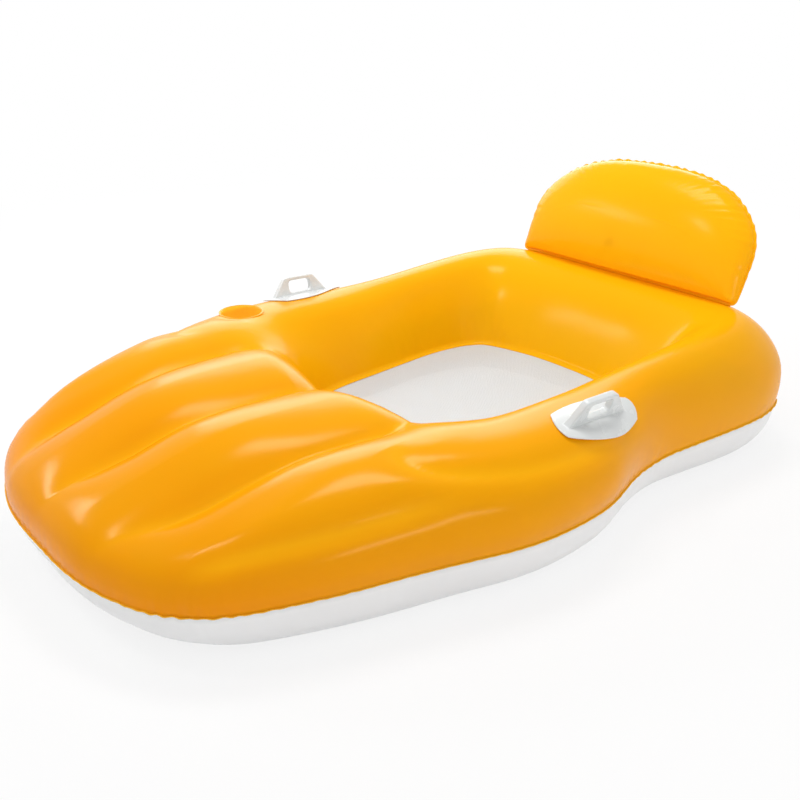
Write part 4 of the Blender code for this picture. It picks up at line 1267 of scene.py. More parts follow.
    def ruffle(self, stations: Array) -> Array:
        """How far the outer weld rises and falls at each station."""
        line = self.ring.row_line(stations, 0)
        size = self.ruffle_least + (self.ruffle_most - self.ruffle_least) * self.turning(stations)
        return gathers_round(line, self.ruffle_wave, Seed.OUTER_EDGE) * size

    def row_numbers(self) -> Array:
        """Section row of each line of the grid, closer together beside the two welds."""
        last = self.ring.form.last_row
        fine = np.linspace(0, last, self.samples)
        runs = [lengths_along(self.ring.at(float(s), fine)) for s in self.sampled_stations]
        spread = sum(run / run[-1] for run in runs) / len(runs)
        spread = spread + self.outer_weld_share * smoothstep(fine / self.weld_rows)
        spread += self.well_weld_share * smoothstep(1 - (last - fine) / self.weld_rows)
        return np.interp(np.linspace(0, spread[-1], self.rows), spread, fine)

    def turning(self, stations: Array) -> Array:
        """How sharply the plan turns at each station, from 0 to 1."""
        bells = [size * np.exp(-((np.abs(stations) - place) / spread) ** 2)
                 for place, size, spread in self.turns]
        return np.max(bells, axis=0)

    def with_flanges(self, points: Array) -> Array:
        """Add the welded margins outside the outer weld and inside the well weld."""
        outer, well = points[:, 0], points[:, -1]
        low, high = [], []
        for share, inner in zip(FLANGE_SHARES, FLANGE_SHARES[::-1]):
            edge = outer.copy()
            edge[:, :2] += self.flange * share * outward(outer[:, :2])
            low.append(edge)
            rim = well.copy()
            rim[:, :2] -= self.seat_flange * inner * outward(well[:, :2])
            high.append(rim)
        return np.concatenate([np.stack(low, axis=1), points, np.stack(high, axis=1)], axis=1)

    def bottom_points(self) -> Array:
        """Inner face of the white sheet, flat on the floor between its bilges."""
        form = self.ring.form
        stations = self.stations()
        outer = self.ring.row_line(stations, 0)
        well = self.ring.row_line(stations, form.last_row)
        across = well[:, :2] - outer[:, :2]
        across = across / np.linalg.norm(across, axis=1, keepdims=True)
        ahead = self.nose_bilge_length - form.length / 2 - outer[:, 1:2]
        widening = 1 + self.nose_bilge_share * smoothstep(ahead / self.nose_bilge_run)
        last = len(self.bilge_shares) - 1
        profile = smooth_curve(self.bilge_shares, np.linspace(0, last, self.bilge_rows))
        profile = np.clip(profile, 0, 1)
        outer_top = form.weld_height - self.gap / 2
        well_bottom = form.well_height - self.net / 2 - self.gap
        puckers, ruffle = self.puckers(stations, outer), self.ruffle(stations)
        side = outward(outer[:, :2])
        rows = []
        for way_in, way_down in profile:
            plan = outer[:, :2] + across * self.bilge * widening * way_in
            near = np.exp(-way_down * outer_top / self.low_pucker_reach)
            near *= smoothstep(way_down / self.low_pucker_start)
            plan = plan + side * (puckers * near)[:, None]
            height = outer_top + (self.skin - outer_top) * way_down
            height = height + ruffle * math.exp(-way_down * outer_top / self.ruffle_reach)
            rows.append(np.column_stack([plan, height]))
        start, end = rows[-1], well[:, :2] - across * self.bilge
        for share in self.floor_rows:
            plan = start[:, :2] * (1 - share) + end * share
            rows.append(np.column_stack([plan, np.full(len(plan), self.skin)]))
        for way_in, way_down in profile[::-1]:
            plan = well[:, :2] - across * self.bilge * way_in
            height = well_bottom + (self.skin - well_bottom) * way_down
            rows.append(np.column_stack([plan, np.full(len(plan), height)]))
        return np.stack(rows, axis=1)

    def sheet(
        self, name: str, points: Array, skip: Array | None, offset: float
    ) -> Object:
        """Closed sheet through a grid of points.

        Args:
            name: the piece's name.
            points: columns by rows by XYZ.
            skip: cells to leave out.
            offset: which way the thickness goes.

        Returns:
            The sheet, with its thickness as a modifier.
        """
        faces = grid_quads(points.shape[0], points.shape[1], True, skip)
        made = new_object(name, new_mesh(name, points, faces))
        wall = made.modifiers.new("thickness", "SOLIDIFY")
        wall.thickness = self.skin
        wall.offset = offset
        return made

    def build(
        self, film: Material, white: Material, valve: "AirValve"
    ) -> Array:
        """Make both sheets.

        Args:
            film: the orange sheet's material.
            white: the white sheet's material.
            valve: the valve that passes through the orange sheet.

        Returns:
            The orange sheet's inner face, columns by rows by XYZ.
        """
        points, crease_light = self.top_points()
        seat, axis = np.array(valve.place), np.array(valve.axis)
        level_seat(points, seat, axis, valve.level, self.skin + self.gap)
        whole = self.with_flanges(points)
        edge = len(FLANGE_SHARES)
        # Painted light along the creases and on the well's flange.
        crease_light_masks = np.pad(crease_light, ((0, 0), (edge, edge)))
        crease_light_masks[:, -edge - 1:] = self.seat_crease_light
        centre = np.array([*self.cup_centre, self.cup_rim])
        cup_hole = round_hole(whole, centre, np.array([0.0, 0, 1]), self.cup_radius + self.cup_gap)
        valve_hole = round_hole(whole, seat, axis, valve.hole)
        top = self.sheet("orange_top_sheet", whole, cup_hole | valve_hole, 1)
        store(top.data, "crease_light", crease_light_masks)
        tidy_mesh(top.data, MERGE)
        finish_piece(top, "float", film, "orange_vinyl", "top_skin")
        low = self.sheet("white_bottom_sheet", self.with_flanges(self.bottom_points()), None, -1)
        finish_piece(low, "float", white, "white_vinyl", "bottom_skin")
        return points


# What runs along a seam


@dataclass
class SweptBand:
    """A flat band that follows a line, made by geometry nodes."""

    width: float
    thickness: float
    corner: float
    spacing: float

    def tree(self) -> bpy.types.NodeTree:
        """Node tree that sweeps a rounded oblong along the input's edges."""
        tree = bpy.data.node_groups.new("swept_band", "GeometryNodeTree")
        graph = Graph(tree)
        for way in ("INPUT", "OUTPUT"):
            tree.interface.new_socket(
                "Geometry", in_out=way, socket_type="NodeSocketGeometry")
        given = graph.node("NodeGroupInput")
        line = graph.node("GeometryNodeMeshToCurve", None, {0: given})
        line = graph.node(
            "GeometryNodeResampleCurve", {"mode": "LENGTH"},
            {"Curve": line, "Length": self.spacing})
        line = graph.node("GeometryNodeSetCurveNormal", {"mode": "Z_UP"}, {"Curve": line})
        oblong = graph.node(
            "GeometryNodeCurvePrimitiveQuadrilateral", {"mode": "RECTANGLE"},
            {"Width": self.width, "Height": self.thickness})
        oblong = graph.node(
            "GeometryNodeFilletCurve", {"mode": "POLY"},
            {"Curve": oblong, "Count": 2, "Radius": self.corner, "Limit Radius": True})
        band = graph.node(
            "GeometryNodeCurveToMesh", None,
            {"Curve": line, "Profile Curve": oblong, "Fill Caps": True})
        band = graph.node("GeometryNodeSetShadeSmooth", None, {"Geometry": band})
        graph.node("NodeGroupOutput", None, {0: band})
        return tree

    def sweep(self, name: str, lines: Sequence[tuple[Array, bool]]) -> Object:
        """Sweep the band along lines and settle the result.

        Args:
            name: the piece's name.
            lines: each line's points and whether it is closed.

        Returns:
            The piece as a plain mesh.
        """
        points: list[Any] = []
        edges: list[tuple[int, int]] = []
        for line, closed in lines:
            base, count = len(points), len(line)
            points += np.asarray(line).tolist()
            edges += [(base + k, base + k + 1) for k in range(count - 1)]
            if closed:
                edges.append((base + count - 1, base))
        mesh = bpy.data.meshes.new(name)
        mesh.from_pydata(points, edges, [])
        made = new_object(name, mesh)
        made.modifiers.new("band", "NODES").node_group = self.tree()
        made = settled(made)
        face_out(made.data)
        return made


@dataclass
class SeatNet:
    """White net held between the two sheets, with its binding tape."""

    ring: Ring
    pitch: float = 4.6 * MM
    strand: float = 3.1 * MM
    thickness: float = 0.5 * MM
    sag: float = 4 * MM
    held: float = 10.5 * MM
    strand_corner: float = 0.2 * MM
    strand_step: float = 0.03
    strand_points: int = 24
    shortest: float = 0.01
    tape_inset: float = 1.8 * MM
    tape_edge: float = 11.8 * MM
    tape_thickness: float = 0.8 * MM
    tape_corner: float = 0.3 * MM
    tape_step: float = 0.006
    fence_step: float = 0.1

    def fence(self, inset: float) -> Array:
        """Plan of the well weld moved in towards the sitter."""
        form = self.ring.form
        stations = np.arange(0, 2 * form.last_station, self.fence_step) - form.last_station
        line = self.ring.row_line(stations, form.last_row)[:, :2]
        return line - inset * outward(line)

    def crossings(self, fence: Array, axis: int, value: float) -> list[float]:
        """Where a straight line across the plan meets the fence.

        Args:
            fence: the closed outline.
            axis: 0 for a line of constant X, 1 for one of constant Y.
            value: that constant.

        Returns:
            The other coordinate at each meeting, in order.
        """
        other = 1 - axis
        here, there = fence, np.roll(fence, -1, axis=0)
        passes = (here[:, axis] - value) * (there[:, axis] - value) < 0
        a, b = here[passes], there[passes]
        share = (value - a[:, axis]) / (b[:, axis] - a[:, axis])
        return sorted((a[:, other] + share * (b[:, other] - a[:, other])).tolist())

    def drop(self, line: Array) -> Array:
        """Heights of the slightly slack net along a line of plan points."""
        form = self.ring.form
        middle = form.crest_middle + (form.nose_fall - form.back_fall) / 2
        length = form.crest_length - form.nose_fall - form.back_fall
        half = np.array([form.crest_width / 2 - form.arm_fall, length / 2])
        way = (line - (0, middle)) / half
        return form.well_height - self.sag * np.prod(np.clip(1 - way ** 2, 0, 1), axis=1)

    def strands(self) -> list[tuple[Array, bool]]:
        """Lines of both families of strands, the second lying on the first."""
        fence = self.fence(self.held)
        lines: list[tuple[Array, bool]] = []
        for axis, lift in ((0, -0.5), (1, 0.5)):
            low, high = fence[:, axis].min(), fence[:, axis].max()
            count = int((high - low) / self.pitch)
            first = (low + high - count * self.pitch) / 2
            for k in range(count + 1):
                value = first + k * self.pitch
                meets = self.crossings(fence, axis, value)
                for start, end in zip(meets[::2], meets[1::2]):
                    if end - start < self.shortest:
                        continue
                    run = np.linspace(start, end, self.strand_points)
                    fixed = np.full(self.strand_points, value)
                    plan = np.column_stack([fixed, run] if axis == 0 else [run, fixed])
                    height = self.drop(plan) + lift * self.thickness
                    lines.append((np.column_stack([plan, height]), False))
        return lines

    def build(self, yarn: Material) -> None:
        """Make the net and its tape."""
        band = SweptBand(self.strand, self.thickness, self.strand_corner, self.strand_step)
        net = band.sweep("seat_net_mesh", self.strands())
        finish_piece(net, "float", yarn, "net", "seat_net")
        fence = self.fence(self.held)
        size = fence.max(axis=0) - fence.min(axis=0)
        turned = np.roll(fence, -1, axis=0)
        area = abs(float(np.sum(fence[:, 0] * turned[:, 1] - turned[:, 0] * fence[:, 1]))) / 2
        middle = self.fence((self.tape_inset + self.tape_edge) / 2)
        line = np.column_stack([middle, np.full(len(middle), self.ring.form.well_height)])
        width = self.tape_edge - self.tape_inset
        tape = SweptBand(width, self.tape_thickness, self.tape_corner, self.tape_step)
        made = tape.sweep("net_binding_tape", [(line, True)])
        finish_piece(made, "float", yarn, "net", "seat_border")


@dataclass
class WeldSeam:
    """Pressed bead along the outer weld, where the two sheets meet."""

    sheets: FloatSheets
    width: float = 2.6 * MM
    thickness: float = 1.4 * MM
    overhang: float = 0.5 * MM
    spacing: float = 3.5 * MM

    def build(self, film: Material) -> None:
        """Make the bead."""
        stations = self.sheets.stations()
        line = self.sheets.ring.row_line(stations, 0)
        line[:, 2] += self.sheets.ruffle(stations)
        away = self.sheets.flange - self.width / 2 + self.overhang
        line[:, :2] += away * outward(line[:, :2])
        band = SweptBand(self.width, self.thickness, self.thickness / 2, self.spacing)
        made = band.sweep("outer_weld_bead", [(line, True)])
        finish_piece(made, "float", film, "orange_vinyl")


@dataclass
class NoseWebs:
    """Strips inside the nose that hold down the creases between its lobes."""

    sheets: FloatSheets
    short: float = 0.4 * MM
    thickness: float = 0.5 * MM
    levels: int = 6

    def build(self, film: Material, tree: BVHTree) -> None:
        """Make the three strips, each under its own crease.

        Args:
            film: the material.
            tree: search tree of the orange sheet.
        """
        floor = search_tree(self.sheets.bottom_points(), True)
        middle, side = (crease[0] for crease in self.sheets.creases()[:2])
        for name, line in (
                ("web_center", middle), ("web_right", side), ("web_left", side * MIRROR[:2])):
            low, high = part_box(name)
            line = line[(line[:, 1] > low.y) & (line[:, 1] < high.y)]
            tops = [tree.ray_cast(Vector((*spot, 1)), DOWN)[0].z for spot in line]
            feet = [floor.ray_cast(Vector((*spot, -1)), -DOWN)[0].z for spot in line]
            top, foot = np.array(tops) - self.short, np.array(feet) + self.short
            shares = np.linspace(0, 1, self.levels)
            heights = foot[:, None] + (top - foot)[:, None] * shares
            plans = np.repeat(line[:, None], self.levels, axis=1)
            sheet = np.concatenate([plans, heights[..., None]], axis=2)
            run = np.gradient(line, axis=0)
            run = run / np.linalg.norm(run, axis=1, keepdims=True)
            aside = np.column_stack([run[:, 1], -run[:, 0], np.zeros(len(run))])[:, None]
            shift = aside * self.thickness / 2
            piece = f"inner_{name}"
            made = new_object(piece, slab_mesh(piece, sheet - shift, sheet + shift))
            finish_piece(made, "float", film, "orange_vinyl", name)


# Turned and moulded pieces


def turned_mesh(
    name: str, profile: Sequence[tuple[float, float]], sides: int, looped: bool
) -> Mesh:
    """Body of revolution about Z.

    Args:
        name: the mesh's name.
        profile: (radius, height) points. An open profile starts and ends on the axis.
        sides: number of sides.
        looped: whether the profile closes on itself.

    Returns:
        The closed mesh.
    """
    turns = np.arange(sides) * 2 * math.pi / sides
    shape = np.asarray(profile, float)
    if looped:
        shape = joined(shape)
    points = np.stack([
        np.outer(np.cos(turns), shape[:, 0]), np.outer(np.sin(turns), shape[:, 0]),
        np.broadcast_to(shape[:, 1], (sides, len(shape)))], axis=-1)
    mesh = new_mesh(name, points, grid_quads(sides, len(shape), True))
    tidy_mesh(mesh, MERGE)
    face_out(mesh)
    return mesh


def rounded_profile(
    points: Sequence[tuple[float, float]], radius: float, looped: bool
) -> list[tuple[float, float]]:
    """Outline with each corner turned into a small arc.

    Args:
        points: the corners.
        radius: distance from a corner at which its arc starts.
        looped: whether the outline closes on itself. An open one keeps its two ends.

    Returns:
        The denser outline.
    """
    most, steps = 0.45, 3
    corners = [np.array(p, float) for p in points]
    count = len(corners)
    made: list[tuple[float, float]] = []
    for k, corner in enumerate(corners):
        if not looped and k in (0, count - 1):
            made.append(tuple(corner))
            continue
        start, end = (
            corner + way / np.linalg.norm(way) * min(radius, most * np.linalg.norm(way))
            for way in (corners[k - 1] - corner, corners[(k + 1) % count] - corner))
        for step in range(steps + 1):
            t = step / steps
            made.append(tuple(start * (1 - t) ** 2 + corner * 2 * t * (1 - t) + end * t ** 2))
    return made


@dataclass
class CupWell:
    """Round well let into one armrest."""

    sheets: FloatSheets
    depth: float = 0.075
    wall: float = 0.8 * MM
    taper: float = 1.2 * MM
    ribs: int = 4
    rib_depth: float = 0.5 * MM
    ribbed_share: float = 0.88
    rib_points: int = 24
    foot_round: float = 4 * MM
    foot_step: float = 0.3 * MM
    floor_radius: float = 0.012
    floor_reach: float = 0.010
    floor_rise: float = 1.0 * MM
    rim_out: float = 4 * MM
    rim_edge: float = 0.7 * MM
    rim_crown: float = 1.2 * MM
    rim_crown_out: float = 1.0 * MM
    rim_inner: float = 0.9 * MM
    rim_corner: float = 0.4 * MM
    sides: int = 96

    def build(self, liner: Material, film: Material) -> None:
        """Make the wall with its floor, in the liner's material, and the welded rim."""
        x, y = self.sheets.cup_centre
        top = self.sheets.cup_rim + self.sheets.skin + self.sheets.gap
        bottom = self.sheets.cup_rim - self.depth
        outer = self.sheets.cup_radius
        shares = np.linspace(0.0, self.ribbed_share, self.rib_points)
        waves = self.rib_depth * np.sin(shares * math.pi * self.ribs) ** 2
        outside = list(zip(outer - self.taper * shares - waves, top - (top - bottom) * shares))
        foot, raised = outer - self.taper, bottom + self.wall + self.floor_rise
        outside += [
            (foot - self.foot_step, bottom + self.foot_round),
            (foot - self.foot_round, bottom + self.foot_step),
            (self.floor_radius, raised), (0.0, raised)]
        near_floor = bottom + self.floor_reach
        inside = [(max(r - self.wall, 0.0), z + self.wall * (z < near_floor)) for r, z in outside]
        profile = [(0.0, raised)] + outside[-2::-1] + inside[:-1] + [(0.0, inside[-1][1])]
        ring = rounded_profile([
            (outer - self.wall, top), (outer + self.rim_out, top),
            (outer + self.rim_out, top + self.rim_edge),
            (outer + self.rim_crown_out, top + self.rim_crown),
            (outer - self.wall, top + self.rim_inner)], self.rim_corner, looped=True)
        for name, shape, looped, material, nodes in (
                ("cup_well_liner", profile, False, liner, ("cup_wall", "cup_floor")),
                ("cup_rim_weld", ring, True, film, ())):
            mesh = turned_mesh(name, shape, self.sides, looped)
            mesh.transform(Matrix.Translation((x, y, 0)))
            finish_piece(new_object(name, mesh), "float", material, "orange_vinyl", *nodes)


@dataclass
class Backrest:
    """Air pillow of two welded sheets, and the strip that carries it on the back tube."""

    y: float = 0.655
    axis_height: float = 0.2875
    lean: float = math.radians(25)
    width: float = 0.630
    height: float = 0.258
    front_depth: float = 0.068
    rear_depth: float = 0.055
    sag: float = 7 * MM
    sag_reach: float = 0.030
    sag_depth: float = 0.022
    centre_share: float = 0.45
    raster: float = 5 * MM
    relaxations: int = 2600
    sure_cells: int = 3
    spreads: int = 12
    power: float = 0.50
    pucker_wave: float = 0.024
    pucker_reach: float = 0.018
    pucker_start: float = 0.004
    pucker_least: float = 0.4 * MM
    pucker_most: float = 2.4 * MM
    plain_width: float = 0.08
    corner_run: float = 0.16
    ruffle: float = 2.0 * MM
    ruffle_wave: float = 0.024
    ruffle_rise: float = 0.03
    ruffle_run: float = 0.05
    flange: float = 5 * MM
    stand: float = 1.5 * MM
    gap: float = 0.3 * MM
    skin: float = 0.5 * MM
    steps: int = 14
    columns: int = 560
    rings: int = 40
    softness: float = 1 / 190
    base_reach: float = 0.09
    # Painted light: how much of the paler crease colour the pillow's seam takes.
    plain_rise: float = 6.3 * MM
    seam_crease_light: float = 0.3
    strip_width: float = 0.606
    strip_lap: float = 7 * MM
    strip_sunk: float = 0.4 * MM
    strip_halves: tuple[float, float] = (4.5 * MM, 1.7 * MM)
    strip_cells: tuple[int, int] = (160, 7)
    strip_power: float = 2.2
    bend: float = 3 * MM
    shares: Pairs = (
        (0.0, 0.0), (0.62, 0.0), (0.965, 0.0), (0.998, 0.06), (1.0, 0.24), (0.995, 0.40),
        (0.955, 0.56), (0.86, 0.705), (0.70, 0.85), (0.50, 0.945), (0.26, 0.99), (0.0, 1.0),
    )

    def tube_top(self, tree: BVHTree, across: Array) -> Array:
        """Height of the back tube's top under the pillow, at places across it."""
        hits = [tree.ray_cast(Vector((x, self.y, 1.0)), DOWN)[0].z for x in across]
        return np.array(hits) + self.skin + self.gap

    def base_rise(self, tree: BVHTree, across: Array) -> Array:
        """How far up its own plane the pillow's base weld lies, at places across it."""
        drop = self.tube_top(tree, across) - self.axis_height
        return drop / math.cos(self.lean) + self.stand + self.flange

    def outline(self, tree: BVHTree) -> Array:
        """Weld line in the pillow's own plane, anticlockwise as the sitter sees it."""
        half = np.array(self.shares) * (self.width / 2, self.height)
        padded = np.concatenate([half[1:2] * (-1, 1), half, half[-2:-1] * (-1, 1)])
        count = (len(half) - 1) * self.steps
        right = smooth_curve(padded, 1 + np.arange(count + 1) / self.steps)
        line = np.concatenate([right, right[-2:0:-1] * (-1, 1)])
        line = evenly_spaced(line, self.columns, closed=True)
        line = soften(line, self.columns * self.softness, closed=True)
        line[:, 1] = np.maximum(line[:, 1], 0)
        low = 1 - smoothstep(line[:, 1] / self.base_reach)
        plain = self.plain_rise
        line[:, 1] += plain + (self.base_rise(tree, line[:, 0]) - plain) * low
        return line

    def base_weld(self, line: Array) -> float:
        """Mean height of the weld line's straight run along the base."""
        middle = np.abs(line[:, 0]) < self.width / 4
        return float(np.mean(line[middle & (line[:, 1] < self.height / 4), 1]))

    def frame(self) -> tuple[Array, Array, Array, Array]:
        """Base point and the pillow's across, up and forward directions."""
        across = np.array([1.0, 0, 0])
        upward = np.array([0, math.sin(self.lean), math.cos(self.lean)])
        base = np.array([0, self.y, self.axis_height])
        return base, across, upward, np.cross(across, upward)

    def fullness(self, plan: Array, line: Array, centre: Array) -> Array:
        """Height of a blown-up sheet over plan points, 0 at its weld and 1 at its highest.

        A film held at its edge and pushed by air is solved on a raster. Its level over the distance
        to the weld is even near the weld, so that is what is read between the raster's points.

        Args:
            plan: the points, along a last axis of two.
            line: the closed weld line.
            centre: a point inside, from which the whole weld can be seen.

        Returns:
            The heights.
        """
        cell = self.raster
        low, high = line.min(axis=0) - 2 * cell, line.max(axis=0) + 2 * cell
        counts = np.ceil((high - low) / cell).astype(int)
        xs, ys = (low[k] + cell * np.arange(counts[k]) for k in (0, 1))
        spots = np.stack(np.meshgrid(xs, ys, indexing="ij"), axis=-1)
        turn = 2 * math.pi
        reach = np.linalg.norm(line - centre, axis=1)
        turns, angle = (
            np.mod(np.arctan2(*np.moveaxis(places - centre, -1, 0)[::-1]), turn)
            for places in (line, spots))
        inside = np.linalg.norm(spots - centre, axis=-1) < np.interp(
            angle, turns, reach, period=turn)
        level = np.zeros(inside.shape)
        for _ in range(self.relaxations):
            level = np.where(inside, (around(level) + cell ** 2) / 4, 0.0)
        apart = nearest_on_line(spots, joined(line))[0]
        sure = inside & (apart > self.sure_cells * cell)
        ratio = np.where(sure, level / np.maximum(apart, cell), 0.0)
        weight = sure.astype(float)
        for _ in range(self.spreads):
            total, count = around(ratio * weight), around(weight)
            fresh = (weight == 0) & (count > 0)
            ratio = np.where(fresh, total / np.maximum(count, TINY), ratio)
            weight = np.where(fresh, 1.0, weight)
        place = (plan - low) / cell
        corner = np.clip(np.floor(place).astype(int), 0, counts - 2)
        part = place - corner
        near = sum(
            ratio[corner[..., 0] + i, corner[..., 1] + j]
            * np.abs(1 - i - part[..., 0]) * np.abs(1 - j - part[..., 1])
            for j in (0, 1) for i in (0, 1))
        height = np.maximum(near * nearest_on_line(plan, joined(line))[0], 0) / level.max()
        return height ** self.power

    def side(self, sheet: Sheet, line: Array) -> Array:
        """One sheet of the pillow.

        Args:
            sheet: front or rear.
            line: the weld line.

        Returns:
            Points from the edge of its flange to its middle, columns by rows by XYZ.
        """
        base, across, upward, forward = self.frame()
        centre = np.array([0, self.flange + self.gap + self.height * self.centre_share])
        is_front = sheet is Sheet.FRONT
        seed = Seed.PILLOW_FRONT if is_front else Seed.PILLOW_REAR
        wave = gathers_round(line, self.pucker_wave, seed)
        free = smoothstep((line[:, 1] - self.ruffle_rise) / self.ruffle_run)
        ruffle = gathers_round(line, self.ruffle_wave, Seed.PILLOW_EDGE) * self.ruffle * free
        aside = np.abs(line[:, 0]) - self.plain_width
        corner = smoothstep(aside / self.corner_run) * free
        shares = np.cos(np.linspace(0, math.pi / 2, self.rings))
        shares[-1] = 0
        plans = np.stack([centre + (line - centre) * share for share in shares], axis=1)
        heights = self.fullness(plans, line, centre)
        apart = nearest_on_line(plans, joined(line))[0]
        size = self.pucker_least + (self.pucker_most - self.pucker_least) * corner
        near = beside_weld(apart, self.pucker_reach, self.pucker_start)
        depth = self.front_depth if is_front else self.rear_depth
        proud = depth * heights + (wave * size)[:, None] * near
        if is_front:
            above = plans[..., 1] - self.base_weld(line)
            low = np.exp(-above / self.sag_reach) * smoothstep(proud / self.sag_depth)
            plans[..., 1] -= self.sag * low
        edge = outward(line)
        rims = [line + (self.flange + ruffle[:, None]) * share * edge for share in FLANGE_SHARES]
        wobble = [ruffle * share * sheet.value for share in FLANGE_SHARES]
        plans = np.concatenate([np.stack(rims, axis=1), plans], axis=1)
        proud = np.concatenate([np.stack(wobble, axis=1), proud], axis=1)
        proud = sheet.value * (proud + self.gap / 2 + self.skin)
        flat = base + plans[..., :1] * across + plans[..., 1:] * upward
        return flat + proud[..., None] * forward

    def build(self, film: Material, valve: "AirValve", tree: BVHTree) -> None:
        """Make the pillow and its strip.

        Args:
            film: the material.
            valve: the valve in the rear sheet.
            tree: search tree of the ring's orange sheet.
        """
        line = self.outline(tree)
        front, rear = self.side(Sheet.FRONT, line), self.side(Sheet.REAR, line)
        seat, axis = np.array(valve.place), np.array(valve.axis)
        level_seat(rear, seat, axis, valve.level, self.gap)
        hole = round_hole(rear, seat, axis, valve.hole)
        whole = np.concatenate([front[:, ::-1], rear], axis=1)
        skip = np.zeros((whole.shape[0], whole.shape[1] - 1), bool)
        skip[:, front.shape[1]:] = hole
        name = "backrest_pillow"
        mesh = new_mesh(name, whole, grid_quads(*whole.shape[:2], True, skip))
        count, edge = front.shape[1], len(FLANGE_SHARES)
        # Painted light on the pillow's seam: the paler crease colour and more glow.
        crease_light_masks = np.zeros(whole.shape[:2])
        crease_light_masks[:, count - edge:count + edge] = self.seam_crease_light
        store(mesh, "crease_light", crease_light_masks)
        tidy_mesh(mesh, 10 * MERGE)
        made = new_object(name, mesh)
        skins = ("backrest_front_skin", "backrest_rear_skin")
        finish_piece(made, "backrest", film, "orange_vinyl", *skins)
        self.strip(film, tree)

    def strip(self, film: Material, tree: BVHTree) -> None:
        """Make the welded strip under the pillow, at rest and on no body; the real strip bends where
        the pillow tilts.

        Args:
            film: the material.
            tree: search tree of the ring's orange sheet.
        """
        base, across, upward, forward = self.frame()
        columns, rows = self.strip_cells
        places = np.linspace(-self.strip_width / 2, self.strip_width / 2, columns)
        low = self.tube_top(tree, places) - self.strip_sunk
        rise = self.base_rise(tree, places) + self.strip_lap - self.flange
        foot = np.column_stack([places, np.full(columns, self.y), low])
        head = base + places[:, None] * across + rise[:, None] * upward
        shares = np.linspace(0, 1, rows)
        middle = foot[:, None] + (head - foot)[:, None] * shares[:, None]
        wide, narrow = self.strip_halves
        half = (narrow + (wide - narrow) * (1 - shares) ** self.strip_power)[:, None]
        mesh = slab_mesh("backrest_weld_strip", middle - half * forward, middle + half * forward)
        made = new_object("backrest_weld_strip", mesh)
        finish_piece(made, None, film, "orange_vinyl", "backrest_hinge_strip")
        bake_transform(made)


